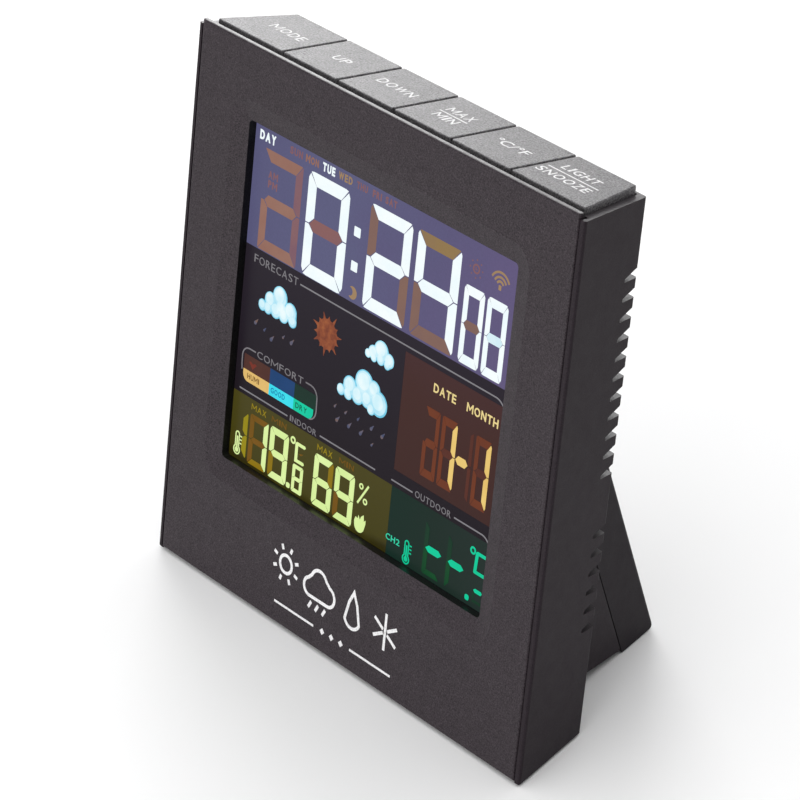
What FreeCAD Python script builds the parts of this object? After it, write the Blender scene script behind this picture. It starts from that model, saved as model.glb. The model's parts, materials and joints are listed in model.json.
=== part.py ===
import FreeCAD, Part
import os, math, sys

# Home weather station: a square, slightly tapered case that leans back by
# "lean" degrees on its own sloping underside and on a wedge-shaped battery
# housing behind it.  Lengths are millimetres.
#
# Every piece is drawn in the case frame: X to the viewer's right, Y from the
# front panel towards the back, Z up the panel, with the panel's lower edge at
# Z = 0 and its face at Y = 0.  The placement "tilt" then leans the case back,
# which puts the underside flat on the ground plane Z = 0 of the part's frame
# and the origin under the middle of the whole object.

App = FreeCAD
V = App.Vector
doc = App.newDocument("weather_station")

# ---------------------------------------------------------------- dimensions
sheet = doc.addObject("Spreadsheet::Sheet", "Params")
DIMS = [
    ("lean", 10.0), ("shift_y", -33.5),
    # case
    ("case_half", 70.4), ("case_high", 138.0), ("case_deep", 24.1),
    ("side_draft", 0.285), ("case_wall", 2.0), ("case_low", -0.72), ("ground_low", -1.02),
    ("rear_drop", 0.6), ("edge_round", 0.7),
    # front panel and its window
    ("panel_half", 68.4), ("panel_low", 0.1), ("panel_high", 139.3), ("panel_thick", 2.4), ("ridge_thick", 1.3),
    ("ridge_low", 133.5), ("win_left", 49.4), ("win_right", 49.4), ("win_low", 32.6),
    ("win_high", 120.2), ("win_round", 1.2), ("dish_wide", 5.4), ("dish_deep", 1.5),
    ("lip_wide", 2.0), ("lip_back", 3.5),
    # display
    ("lcd_front", 3.6), ("lcd_thick", 2.6), ("lcd_left", 51.9), ("lcd_right", 51.9),
    ("lcd_low", 30.1), ("lcd_high", 122.7), ("light_front", 6.3), ("light_thick", 4.2),
    ("light_low", 33.3), ("light_high", 119.6), ("frame_wall", 1.6), ("frame_gap", 0.1),
    ("frame_long", 7.3), ("strip_thick", 2.0), ("strip_half", 46.0), ("strip_deep", 4.7),
    # boards
    ("board_front", 11.1), ("board_thick", 1.6), ("board_left", 58.8), ("board_right", 58.8),
    ("board_low", 16.0), ("board_high", 120.0), ("key_board_half", 57.0),
    ("key_board_front", 13.6), ("key_board_back", 21.8), ("key_board_low", 121.0),
    # buttons
    ("key_front", 3.1), ("key_back", 22.9), ("key_top", 139.5), ("key_low", 133.0),
    ("key_wall", 1.5), ("key_gap", 0.6), ("key_end", 66.9), ("key_pitch", 20.7),
    ("key_cell", 41.4), ("key_edge", 0.35), ("post_half", 2.6), ("post_low", 127.0), ("key_mid", 17.6),
    ("rail_low", 130.2), ("rail_thick", 1.5), ("rail_half", 61.0), ("rail_hole", 3.0),
    ("pocket_low", 129.0), ("pocket_gap", 0.3),
    ("switch_wide", 6.0), ("switch_high", 3.5), ("switch_stem", 0.8),
    # vents
    ("vent_first", 118.3), ("vent_second", 55.5), ("vent_pitch", 4.78), ("vent_high", 2.5), ("vent_tip", 0.9),
    ("vent_front", 19.2), ("vent_in", 55.5),
    # battery housing and its cover
    ("hump_half", 52.6), ("hump_top", 87.2), ("hump_slope", 29.2), ("cover_deep", 13.0),
    ("hump_rise", 1.2), ("rise_front", 4.85), ("hump_wall", 2.0), ("cover_wall", 1.8), ("cover_gap", 0.3),
    ("hinge_y", 26.0), ("hinge_z", 80.8), ("barrel_r", 1.5), ("stub_r", 1.10), ("stub_hole", 1.16),
    ("barrel_half", 46.8), ("lug_in", 47.3), ("lug_out", 50.2), ("ridge_z", 83.3),
    ("cover_round", 1.6),
    # cells
    ("cell_r", 7.1), ("cell_long", 49.2), ("cell_pitch", 16.2), ("tray_start", 4.0),
    ("tray_half", 29.4), ("tray_deep", 5.0),
    # screws, bosses, feet
    ("boss_x", 58.3), ("boss_r", 2.4), ("boss_back", 19.0), ("pilot_r", 1.15), ("screw_r", 1.1),
    ("screw_head", 2.4), ("foot_r", 4.0),
]
for i, (name, value) in enumerate(DIMS):
    cell = "A%d" % (i + 1)
    sheet.set(cell, repr(value))
    sheet.setAlias(cell, name)
doc.recompute()


def P(name):
    return float(getattr(sheet, name))


LEAN = math.radians(P("lean"))
SLOPE = math.radians(P("hump_slope"))
GROUND = math.tan(LEAN)
DRAFT = P("side_draft")
REAR = P("case_deep")


def ground(y):
    return P("ground_low") + GROUND * y


def under(y):
    return P("case_low") + GROUND * y


tilt = App.Placement(V(0, P("shift_y"), -P("ground_low") * math.cos(LEAN)),
                     App.Rotation(V(1, 0, 0), -P("lean")))

PIECES = []


def keep(obj, label):
    obj.Label = label
    PIECES.append((label, obj))
    return obj


# ------------------------------------------------------------------- helpers
def plane(body, role):
    for o in body.Origin.OriginFeatures:
        if o.Role == role:
            return o


def new_body(name):
    return doc.addObject("PartDesign::Body", name)


def term(t):
    sign, name = (-1, t[1:]) if t.startswith("-") else (1, t)
    return sign, name, sign * P(name)


def sketch(body, name, role, offset=None):
    sk = body.newObject("Sketcher::SketchObject", name)
    sk.AttachmentSupport = [(plane(body, role), "")]
    sk.MapMode = "FlatFace"
    if offset:
        sk.setExpression("AttachmentOffset.Base.z", offset)
    return sk


def rectangle(sk, left, right, low, high):
    """A rectangle whose four sides are each tied to a cell by its distance
    from the sketch's origin."""
    import Sketcher
    xs, ys = [term(left), term(right)], [term(low), term(high)]
    x0, x1, y0, y1 = xs[0][2], xs[1][2], ys[0][2], ys[1][2]
    n = sk.GeometryCount
    pts = [(x0, y0), (x1, y0), (x1, y1), (x0, y1)]
    for i in range(4):
        a, b = pts[i], pts[(i + 1) % 4]
        sk.addGeometry(Part.LineSegment(V(a[0], a[1], 0), V(b[0], b[1], 0)), False)
    for i in range(4):
        sk.addConstraint(Sketcher.Constraint("Coincident", n + i, 2, n + (i + 1) % 4, 1))
    sk.addConstraint(Sketcher.Constraint("Horizontal", n))
    sk.addConstraint(Sketcher.Constraint("Horizontal", n + 2))
    sk.addConstraint(Sketcher.Constraint("Vertical", n + 1))
    sk.addConstraint(Sketcher.Constraint("Vertical", n + 3))

    def tie(kind, geo, pos, t):
        sign, name, value = t
        if value >= 0:
            c = Sketcher.Constraint(kind, -1, 1, geo, pos, abs(value))
        else:
            c = Sketcher.Constraint(kind, geo, pos, -1, 1, abs(value))
        k = sk.addConstraint(c)
        positive = (sign > 0) == (value >= 0)
        sk.setExpression("Constraints[%d]" % k, ("" if positive else "-") + "Params." + name)

    tie("DistanceX", n, 1, xs[0])
    tie("DistanceX", n + 1, 1, xs[1])
    tie("DistanceY", n, 1, ys[0])
    tie("DistanceY", n + 2, 1, ys[1])


def pad(body, name, sk, length, back=True):
    f = body.newObject("PartDesign::Pad", name)
    f.Profile = sk
    f.setExpression("Length", length)
    f.Reversed = back
    doc.recompute()
    return f


def pocket(body, name, sk, length, back=True):
    """Pockets cut against the sketch normal unless reversed; the caller says
    whether the cut runs towards +Y ("back") and the volume is checked."""
    before = body.Shape.Volume
    f = body.newObject("PartDesign::Pocket", name)
    f.Profile = sk
    f.setExpression("Length", length)
    f.Reversed = not back
    doc.recompute()
    if not f.Shape.Volume < before - 1e-6:
        raise RuntimeError("pocket %s cuts nothing" % name)
    return f


def plate(label, left, right, low, high, front, thick, extra=None):
    """A flat rectangular piece standing parallel to the front panel."""
    body = new_body(label)
    sk = sketch(body, label + "_outline", "XZ_Plane", "-Params." + front)
    rectangle(sk, left, right, low, high)
    pad(body, label + "_pad", sk, "Params." + thick)
    return body


def feature(label, shape, placement=None):
    f = doc.addObject("Part::Feature", label)
    f.Shape = shape
    f.Placement = (placement or tilt).multiply(f.Placement)
    return keep(f, label)


def box(x0, x1, y0, y1, z0, z1):
    return Part.makeBox(x1 - x0, y1 - y0, z1 - z0, V(x0, y0, z0))


def cyl(r, a, b):
    d = b - a
    return Part.makeCylinder(r, d.Length, a, d)


def tapered(half, y0, y1, z00, z01, z10, z11, ref=0.0, draft=None):
    """Straight-sided block between y0 and y1: half its width is "half" at
    Y = ref and narrows towards the back; z00..z01 at y0, z10..z11 at y1."""
    k = DRAFT if draft is None else draft

    def wire(y, za, zb):
        h = half - k * (y - ref)
        return Part.makePolygon([V(-h, y, za), V(h, y, za), V(h, y, zb), V(-h, y, zb), V(-h, y, za)])
    return Part.makeLoft([wire(y0, z00, z01), wire(y1, z10, z11)], True, True)


def prism(points, half):
    """Outline in the YZ plane, extruded across X."""
    pts = [V(-half, y, z) for y, z in points]
    return Part.Face(Part.makePolygon(pts + [pts[0]])).extrude(V(2 * half, 0, 0))


def edges_where(shape, test):
    return [e for e in shape.Edges if test(e)]


# ------------------------------------------------------------- 1 front panel
body = new_body("front_panel")
sk = sketch(body, "panel_outline", "XZ_Plane")
rectangle(sk, "-panel_half", "panel_half", "panel_low", "panel_high")
pad(body, "panel_plate", sk, "Params.panel_thick")
sk = sketch(body, "lip_outline", "XZ_Plane", "-Params.panel_thick")
sheet.set("C1", "=-win_left - lip_wide"); sheet.setAlias("C1", "lip_a")
sheet.set("C2", "=win_right + lip_wide"); sheet.setAlias("C2", "lip_b")
sheet.set("C3", "=win_low - lip_wide"); sheet.setAlias("C3", "lip_c")
sheet.set("C4", "=win_high + lip_wide"); sheet.setAlias("C4", "lip_d")
sheet.set("C5", "=lip_back - panel_thick"); sheet.setAlias("C5", "lip_long")
doc.recompute()
rectangle(sk, "lip_a", "lip_b", "lip_c", "lip_d")
pad(body, "panel_lip", sk, "Params.lip_long")
sk = sketch(body, "window_outline", "XZ_Plane")
rectangle(sk, "-win_left", "win_right", "win_low", "win_high")
pocket(body, "window", sk, "Params.lip_back + 1")
# rebate that thins the top edge in front of the buttons
sk = sketch(body, "rebate_outline", "XZ_Plane", "-Params.ridge_thick")
sheet.set("C6", "=panel_high + 1"); sheet.setAlias("C6", "over_top")
sheet.set("C7", "=panel_half + 1"); sheet.setAlias("C7", "over_side")
doc.recompute()
rectangle(sk, "-over_side", "over_side", "ridge_low", "over_top")
rebate = pocket(body, "rebate", sk, "Params.panel_thick")


def window_corner(e):
    if len(e.Vertexes) != 2:
        return False
    a, b = e.Vertexes[0].Point, e.Vertexes[1].Point
    return (abs(a.x - b.x) < 1e-4 and abs(a.z - b.z) < 1e-4
            and min(abs(a.x + P("win_left")), abs(a.x - P("win_right"))) < 1e-3
            and min(abs(a.z - P("win_low")), abs(a.z - P("win_high"))) < 1e-3)


names = ["Edge%d" % (i + 1) for i, e in enumerate(rebate.Shape.Edges) if window_corner(e)]
f = body.newObject("PartDesign::Fillet", "window_corners")
f.Base = (rebate, names)
f.setExpression("Radius", "Params.win_round")
doc.recompute()
corners = f


def window_mouth(e):
    bb = e.BoundBox
    inside = (bb.XMin > -P("win_left") - 0.01 and bb.XMax < P("win_right") + 0.01
              and bb.ZMin > P("win_low") - 0.01 and bb.ZMax < P("win_high") + 0.01)
    return inside and bb.YMax < 0.01


names = ["Edge%d" % (i + 1) for i, e in enumerate(corners.Shape.Edges) if window_mouth(e)]
before = corners.Shape.Volume
f = body.newObject("PartDesign::Chamfer", "window_dish")
f.Base = (corners, names)
f.ChamferType = "Two distances"
f.setExpression("Size", "Params.dish_wide")
f.setExpression("Size2", "Params.dish_deep")
doc.recompute()
bb = [fc for fc in f.Shape.Faces if fc.BoundBox.YMax - fc.BoundBox.YMin < 1.8 and 0.01 < fc.BoundBox.YMax < 2.2]
wide = max((fc.BoundBox.YMax for fc in bb), default=9)
if wide > P("dish_deep") + 0.01:
    f.FlipDirection = True
    doc.recompute()
dish = f


def outer_edge(e):
    if len(e.Vertexes) != 2:
        return False
    b = e.BoundBox
    if b.YMax > 0.01:
        return False
    return (abs(b.XMin + P("panel_half")) < 0.01 and abs(b.XMax + P("panel_half")) < 0.01) or \
           (abs(b.XMin - P("panel_half")) < 0.01 and abs(b.XMax - P("panel_half")) < 0.01) or \
           (abs(b.ZMax - P("panel_low")) < 0.01) or (abs(b.ZMin - P("panel_high")) < 0.01)


names = ["Edge%d" % (i + 1) for i, e in enumerate(dish.Shape.Edges) if outer_edge(e)]
f = body.newObject("PartDesign::Fillet", "panel_edges")
f.Base = (dish, names)
f.Radius = 0.5
doc.recompute()
panel_shape = f.Shape.copy()

# screw bosses and board posts, with blind pilot holes
BOSSES = [(sx * P("boss_x"), z) for sx in (-1, 1) for z in (12.0, 63.0, 126.3)]
POSTS = [(-40.0, 21.0), (40.0, 21.0), (-56.4, 85.0), (56.4, 85.0)]
sk = sketch(body, "boss_outline", "XZ_Plane", "-Params.panel_thick")
import Sketcher


def circles(sk, centres, radius_cell):
    for x, z in centres:
        n = sk.GeometryCount
        sk.addGeometry(Part.Circle(V(x, z, 0), V(0, 0, 1), P(radius_cell)), False)
        k = sk.addConstraint(Sketcher.Constraint("Radius", n, P(radius_cell)))
        sk.setExpression("Constraints[%d]" % k, "Params." + radius_cell)
        sk.addConstraint(Sketcher.Constraint("DistanceX", -1, 1, n, 3, x) if x > 0
                         else Sketcher.Constraint("DistanceX", n, 3, -1, 1, -x))
        sk.addConstraint(Sketcher.Constraint("DistanceY", -1, 1, n, 3, z))


circles(sk, BOSSES, "boss_r")
sheet.set("C8", "=boss_back - panel_thick"); sheet.setAlias("C8", "boss_long")
sheet.set("C9", "=board_front - panel_thick"); sheet.setAlias("C9", "post_long")
sheet.set("C10", "1.9"); sheet.setAlias("C10", "post_r")
sheet.set("C11", "0.95"); sheet.setAlias("C11", "post_pilot")
doc.recompute()
pad(body, "screw_bosses", sk, "Params.boss_long")
sk = sketch(body, "post_outline", "XZ_Plane", "-Params.panel_thick")
circles(sk, POSTS, "post_r")
pad(body, "board_posts", sk, "Params.post_long")
sheet.set("C12", "4"); sheet.setAlias("C12", "pilot_start")
doc.recompute()
sk = sketch(body, "boss_pilot_outline", "XZ_Plane", "-Params.pilot_start")
circles(sk, BOSSES, "pilot_r")
pocket(body, "boss_pilots", sk, "Params.boss_back")
sk = sketch(body, "post_pilot_outline", "XZ_Plane", "-Params.pilot_start")
circles(sk, POSTS, "post_pilot")
tip = pocket(body, "post_pilots", sk, "Params.boss_back")
body.Placement = tilt
keep(body, "front_panel")

# -------------------------------------------------------------- 2 rear cover
HALF, TOP, WALL = P("case_half"), P("case_high"), P("case_wall")
Y0 = 0.2
shell = tapered(HALF, Y0, REAR, under(Y0), TOP, under(REAR), TOP - P("rear_drop"))


def shell_edge(e):
    b = e.BoundBox
    if b.ZMin > TOP - 1.5:
        return False
    return True


shell = shell.makeFillet(P("edge_round"), edges_where(shell, shell_edge))

# wedge-shaped battery housing that grows out of the back
AP = P("hump_top")
T30 = math.tan(SLOPE)


def back_line(z, inset=0.0):
    """Y of the housing's sloping back at height z, moved in by "inset"."""
    return REAR + (AP - z) * T30 - inset / math.cos(SLOPE)


def meet(inset, rise):
    """Where the sloping back (moved in) meets the underside (moved up)."""
    u = (AP - inset / math.sin(SLOPE) - under(REAR) - rise) / (1 / T30 + GROUND)
    return REAR + u, under(REAR + u) + rise


DEEP = P("cover_deep")
toe = meet(DEEP, P("hump_rise"))
fixed = prism([(REAR - 1.5, AP - DEEP / math.sin(SLOPE) + 1.5 / T30), toe,
               (REAR - 1.5, under(REAR - 1.5) + P("rise_front"))], 60)
HH = P("hump_half")
side = tapered(HH, 15, 80, -20, 160, -20, 160, ref=REAR)
fixed = fixed.common(side)
shell = shell.fuse(fixed)

# inside of the case and of the housing
inner = tapered(HALF - 1.65, -1, REAR - WALL, under(-1) + WALL, P("pocket_low"),
                under(REAR - WALL) + WALL, P("pocket_low"), draft=DRAFT + 0.011)
shell = shell.cut(inner)
hw = P("hump_wall")
itoe = meet(DEEP + hw, P("hump_rise") + hw)
hollow = prism([(REAR - 3.2, AP - (DEEP + hw) / math.sin(SLOPE) + 3.2 / T30), itoe,
                (REAR - 3.2, under(REAR - 3.2) + P("rise_front") + hw)], 60)
hollow = hollow.common(tapered(HH - hw, 15, 80, -20, 160, -20, 160, ref=REAR))
shell = shell.cut(hollow)
# the place of the front panel, open at the top and the bottom
shell = shell.cut(box(-HALF + 1.65, HALF - 1.65, -2, P("panel_thick") + 0.15, -5, TOP + 5))
# pocket for the buttons
pk = P("key_end") + P("pocket_gap")
key_pocket = tapered(pk, P("panel_thick") - 1, P("key_back") + P("pocket_gap"), P("pocket_low") - 0.01, TOP + 5,
                     P("pocket_low") - 0.01, TOP + 5, ref=P("key_front"))
shell = shell.cut(key_pocket)

# battery tray sunk in the housing's sloping face
O = V(0, REAR, AP - DEEP / math.sin(SLOPE))
dn = V(0, math.sin(SLOPE), -math.cos(SLOPE))       # down the slope
nr = V(0, math.cos(SLOPE), math.sin(SLOPE))        # out of the slope


def on_slope(s, n, x=0.0):
    return V(x, 0, 0) + O + dn * s + nr * n


def slope_box(x0, x1, s0, s1, n0, n1):
    b = Part.makeBox(x1 - x0, s1 - s0, n1 - n0)
    pl = App.Placement(App.Matrix(1, 0, 0, 0, 0, dn.y, nr.y, 0, 0, dn.z, nr.z, 0, 0, 0, 0, 1))
    pl.Base = on_slope(s0, n0, x0)
    b.Placement = pl
    return b


ts, td, th = P("tray_start"), P("tray_deep"), P("tray_half")
te = ts + 3 * P("cell_pitch")
tray = slope_box(-th - 1.5, th + 1.5, ts - 1.5, te + 1.5, -td - 1.5, -0.4)
shell = shell.fuse(tray)
shell = shell.cut(slope_box(-th, th, ts, te, -td, 3))

# ridge above the battery cover and the two hinge lugs
HY, HZ = P("hinge_y"), P("hinge_z")
outline = prism([(REAR - 1, AP + 1 / T30), (back_line(60), 60), (REAR - 1, 60)], 60).common(side)
ridge = outline.common(box(-60, 60, REAR - 1, 40, P("ridge_z"), 100))
shell = shell.fuse(ridge)
for sx in (-1, 1):
    a, b = sorted((sx * P("lug_in"), sx * P("lug_out")))
    lug = box(a, b, REAR - 1, 40, HZ, P("ridge_z") + 1).common(outline)
    lug = lug.fuse(cyl(2.9, V(a, HY, HZ), V(b, HY, HZ)).common(outline))
    lug = lug.cut(cyl(P("stub_hole"), V(a - 1, HY, HZ), V(b + 1, HY, HZ)))
    shell = shell.fuse(lug)

# screw bosses, clearance holes and head recesses in the back wall
for x, z in BOSSES:
    shell = shell.fuse(cyl(3.1, V(x, P("boss_back") + 0.3, z), V(x, REAR - WALL + 0.2, z)))
for x, z in BOSSES:
    shell = shell.cut(cyl(1.5, V(x, P("boss_back") - 1, z), V(x, REAR + 1, z)))
    shell = shell.cut(cyl(2.7, V(x, REAR - 2.0, z), V(x, REAR + 1, z)))

# vent slots that wrap round both rear corners
for z in [P("vent_first") - P("vent_pitch") * i for i in range(11)] + \
         [P("vent_second") - P("vent_pitch") * i for i in range(6)]:
    for sx in (-1, 1):
        a, b = sorted((sx * P("vent_in"), sx * 80))
        # a flat ledge below, and a roof that rises towards the rear corner
        rise = (P("vent_high") - P("vent_tip")) / (P("case_deep") - P("vent_front"))
        far = P("vent_tip") + rise * (30 - P("vent_front"))
        slot = Part.Face(Part.makePolygon([V(a, P("vent_front"), z), V(a, 30, z), V(a, 30, z + far),
                                           V(a, P("vent_front"), z + P("vent_tip")), V(a, P("vent_front"), z)]))
        shell = shell.cut(slot.extrude(V(b - a, 0, 0)))

# round hole for the power socket in the left side
JY, JZ = 13.4, 20.0
shell = shell.cut(cyl(4.1, V(-80, JY, JZ), V(-60, JY, JZ)))
shell = shell.cut(box(-64.1, -53.0, JY - 4.6, JY + 4.6, JZ - 4.6, JZ + 4.6))

# shallow seats for the rubber feet
gn = V(0, -math.sin(LEAN), math.cos(LEAN))
FEET = [(-52.0, 14.0, 4.0, 1.1), (52.0, 14.0, 4.0, 1.1), (-31.0, 48.0, 5.0, 3.0), (31.0, 48.0, 5.0, 3.0)]
for x, y, r, hgt in FEET:
    base = V(x, y, ground(y))
    shell = shell.cut(Part.makeCylinder(r + 0.05, hgt, base, gn))
feature("rear_cover", shell)

# ----------------------------------------------------------- 3 battery cover
cg = P("cover_gap")
heel = meet(0.0, 0.0)
ctoe = meet(DEEP - cg, 0.0)
cover = prism([(REAR + cg, AP - (DEEP - cg) / math.sin(SLOPE) - cg / T30), (REAR + cg, HZ),
               (back_line(HZ), HZ), heel, ctoe], 60)
cover = cover.common(side)


def cover_edge(e):
    b = e.BoundBox
    c = b.Center
    on_back = abs(c.y - back_line(c.z)) < 0.2 and b.DiagonalLength > 8
    return on_back and c.z < HZ - 1


cover = cover.makeFillet(P("cover_round"), edges_where(cover, cover_edge))
cw = P("cover_wall")
ctip = meet(cw, cw)
z_in = HZ - 2.9
hollow = prism([(15, z_in), (back_line(z_in, cw), z_in), ctip, (30, under(30) + cw), (15, under(15) + cw)], 60)
hollow = hollow.common(tapered(HH - cw, 10, 90, -20, 160, -20, 160, ref=REAR))
cover = cover.cut(hollow)
bh = P("barrel_half")
for sx in (-1, 1):
    a, b = sorted((sx * (bh + 0.1), sx * 60))
    cover = cover.cut(box(a, b, REAR - 1, 45, HZ - 3.5, HZ + 6))
cover = cover.fuse(cyl(P("barrel_r"), V(-bh, HY, HZ), V(bh, HY, HZ)))
cover = cover.fuse(cyl(P("stub_r"), V(-P("lug_out") + 0.3, HY, HZ), V(P("lug_out") - 0.3, HY, HZ)))
# two stiffening ribs and the catch that snaps under the housing
for x in (-33.5, 33.5):
    rib = slope_box(x - 0.6, x + 0.6, -8, 60, 1.2, DEEP - 1.0)
    rib = rib.common(prism([(REAR + 1.5, HZ - 3), (back_line(HZ - 3), HZ - 3), heel, ctoe,
                            (REAR + 1.5, AP - (DEEP - 0.6) / math.sin(SLOPE))], 60))
    cover = cover.fuse(rib)
feature("battery_cover", cover.removeSplitter())

# ----------------------------------------------------- 4-8 display and board
b = plate("lcd_glass", "-lcd_left", "lcd_right", "lcd_low", "lcd_high", "lcd_front", "lcd_thick")
b.Placement = tilt
keep(b, "lcd_glass")
b = plate("backlight_panel", "-lcd_left", "lcd_right", "light_low", "light_high", "light_front", "light_thick")
b.Placement = tilt
keep(b, "backlight_panel")

sheet.set("D1", "=lcd_left + frame_gap"); sheet.setAlias("D1", "fin_left")
sheet.set("D2", "=lcd_right + frame_gap"); sheet.setAlias("D2", "fin_right")
sheet.set("D3", "=lcd_low - frame_gap"); sheet.setAlias("D3", "fin_low")
sheet.set("D4", "=lcd_high + frame_gap"); sheet.setAlias("D4", "fin_high")
sheet.set("D5", "=fin_left + frame_wall"); sheet.setAlias("D5", "fout_left")
sheet.set("D6", "=fin_right + frame_wall"); sheet.setAlias("D6", "fout_right")
sheet.set("D7", "=fin_low - frame_wall"); sheet.setAlias("D7", "fout_low")
sheet.set("D8", "=fin_high + frame_wall"); sheet.setAlias("D8", "fout_high")
doc.recompute()
b = plate("display_frame", "-fout_left", "fout_right", "fout_low", "fout_high", "lcd_front", "frame_long")
sk = sketch(b, "display_frame_opening", "XZ_Plane", "-Params.lcd_front")
rectangle(sk, "-fin_left", "fin_right", "fin_low", "fin_high")
pocket(b, "display_frame_cut", sk, "Params.frame_long + 1")
b.Placement = tilt
keep(b, "display_frame")

# two conductive rubber strips between the glass and the board
strips = []
for i, cell in enumerate(("lcd_low", "lcd_high")):
    s = doc.addObject("Part::Box", "strip_%d" % i)
    s.setExpression("Length", "Params.strip_half * 2")
    s.setExpression("Width", "Params.strip_deep")
    s.setExpression("Height", "Params.strip_thick")
    s.setExpression("Placement.Base.x", "-Params.strip_half")
    s.setExpression("Placement.Base.y", "Params.light_front")
    s.setExpression("Placement.Base.z", "Params.lcd_low + 0.6" if i == 0 else "Params.lcd_high - 0.6 - Params.strip_thick")
    strips.append(s)
c = doc.addObject("Part::Compound", "contact_strips")
c.Links = strips
c.Placement = tilt
keep(c, "contact_strips")

b = plate("main_board_blank", "-board_left", "board_right", "board_low", "board_high", "board_front", "board_thick")
sk = sketch(b, "board_notches", "XZ_Plane", "-Params.board_front")
sheet.set("D9", "3.0"); sheet.setAlias("D9", "notch_r")
sheet.set("D10", "1.2"); sheet.setAlias("D10", "board_hole")
sheet.set("D11", "60.5"); sheet.setAlias("D11", "cut_out")
sheet.set("D12", "52.8"); sheet.setAlias("D12", "cut_in")
sheet.set("D13", "15"); sheet.setAlias("D13", "cut_low")
sheet.set("D14", "25.2"); sheet.setAlias("D14", "cut_high")
doc.recompute()
circles(sk, [(-P("boss_x"), 63.0), (P("boss_x"), 63.0)], "notch_r")
pocket(b, "board_boss_notches", sk, "Params.board_thick + 1")
sk = sketch(b, "board_screw_holes", "XZ_Plane", "-Params.board_front")
circles(sk, POSTS, "board_hole")
pocket(b, "board_holes", sk, "Params.board_thick + 1")
sk = sketch(b, "board_socket_cut", "XZ_Plane", "-Params.board_front")
rectangle(sk, "-cut_out", "-cut_in", "cut_low", "cut_high")
pocket(b, "board_socket_notch", sk, "Params.board_thick + 1")
b.Placement = tilt
keep(b, "main_board")

chip = doc.addObject("Part::Box", "main_chip")
chip.Length, chip.Width, chip.Height = 14, 1.2, 14
chip.setExpression("Placement.Base.y", "Params.board_front + Params.board_thick + 0.02")
chip.Placement = App.Placement(V(-2, P("board_front") + P("board_thick") + 0.02, 62), App.Rotation())
chipf = doc.addObject("Part::Fillet", "main_chip_round")
doc.recompute()
chipf.Base = chip
chipf.Edges = [(i + 1, 0.4, 0.4) for i, e in enumerate(chip.Shape.Edges)
               if min(v.Point.y for v in e.Vertexes) > P("board_front") + P("board_thick") + 1.0]
doc.recompute()
chipf.Placement = tilt
keep(chipf, "main_chip")

# --------------------------------------------------------- 9 buttons and keys
KF, KB, KT, KL = P("key_front"), P("key_back"), P("key_top"), P("key_low")
gap = P("key_gap") / 2
CUTS = [-2 * P("key_pitch"), -P("key_pitch"), 0.0, P("key_pitch"), 2 * P("key_pitch")]
KEYS = ["button_mode", "button_up", "button_down", "button_max_min", "button_unit", "button_light_snooze"]
KEY_X = [-51.0, -1.5 * P("key_pitch"), -0.5 * P("key_pitch"), 0.5 * P("key_pitch"), 1.5 * P("key_pitch"), 51.0]
end = P("key_end")
taper_drop = DRAFT * (KB - KF)
for i, label in enumerate(KEYS):
    # outline of the cap from above: the two end caps follow the case's sides
    lf = -end if i == 0 else CUTS[i - 1] + gap
    lb = -end + taper_drop if i == 0 else lf
    rf = end if i == 5 else CUTS[i] - gap
    rb = end - taper_drop if i == 5 else rf
    w = P("key_wall")

    def outline_at(z, inset):
        k = inset * (1.05 if i in (0, 5) else 1.0)
        pts = [V(lf + k, KF + inset, z), V(rf - k, KF + inset, z), V(rb - k, KB - inset, z), V(lb + k, KB - inset, z)]
        return Part.makePolygon(pts + [pts[0]])
    cap = Part.Face(outline_at(KL, 0)).extrude(V(0, 0, KT - KL))
    vert = edges_where(cap, lambda e: e.BoundBox.ZLength > 3)
    cap = cap.makeFillet(0.6, vert)
    top = edges_where(cap, lambda e: e.BoundBox.ZMin > KT - 0.01)
    cap = cap.makeFillet(P("key_edge"), top)
    cap = cap.cut(Part.Face(outline_at(KL - 1, w)).extrude(V(0, 0, KT - KL + 1 - 2.0)))
    ph = P("post_half")
    cap = cap.fuse(box(KEY_X[i] - ph, KEY_X[i] + ph, P("key_mid") - ph, P("key_mid") + ph, P("post_low"), KT - 1.5))
    feature(label, cap.removeSplitter())

rail = doc.addObject("Part::Box", "rail_blank")
rail.setExpression("Length", "Params.rail_half * 2")
rail.setExpression("Width", "Params.key_back - Params.key_front")
rail.setExpression("Height", "Params.rail_thick")
rail.setExpression("Placement.Base.x", "-Params.rail_half")
rail.setExpression("Placement.Base.y", "Params.key_front")
rail.setExpression("Placement.Base.z", "Params.rail_low")
holes = []
for i, x in enumerate(KEY_X):
    hbox = doc.addObject("Part::Box", "rail_hole_%d" % i)
    hbox.setExpression("Length", "Params.rail_hole * 2")
    hbox.setExpression("Width", "Params.rail_hole * 2")
    hbox.Height = 4
    hbox.Placement = App.Placement(V(x - P("rail_hole"), P("key_mid") - P("rail_hole"), P("rail_low") - 1), App.Rotation())
    holes.append(hbox)
comp = doc.addObject("Part::Compound", "rail_holes")
comp.Links = holes
cut = doc.addObject("Part::Cut", "button_rail")
cut.Base, cut.Tool = rail, comp
doc.recompute()
cut.Placement = tilt
keep(cut, "button_rail")

kb = doc.addObject("Part::Box", "button_board")
kb.setExpression("Length", "Params.key_board_half * 2")
kb.setExpression("Width", "Params.key_board_back - Params.key_board_front")
kb.setExpression("Height", "Params.board_thick")
doc.recompute()
kb.Placement = tilt.multiply(App.Placement(V(-P("key_board_half"), P("key_board_front"), P("key_board_low")), App.Rotation()))
keep(kb, "button_board")

sw = []
zs = P("key_board_low") + P("board_thick")
for x in KEY_X:
    h = P("switch_wide") / 2
    s = box(x - h, x + h, P("key_mid") - h, P("key_mid") + h, zs, zs + P("switch_high"))
    s = s.fuse(cyl(1.75, V(x, P("key_mid"), zs + P("switch_high") - 0.1), V(x, P("key_mid"), P("post_low") - 0.72)))
    sw.append(s.removeSplitter())
feature("tact_switches", Part.makeCompound(sw))

# ----------------------------------------------------------- 10 electronics
yb = P("board_front") + P("board_thick")
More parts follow.
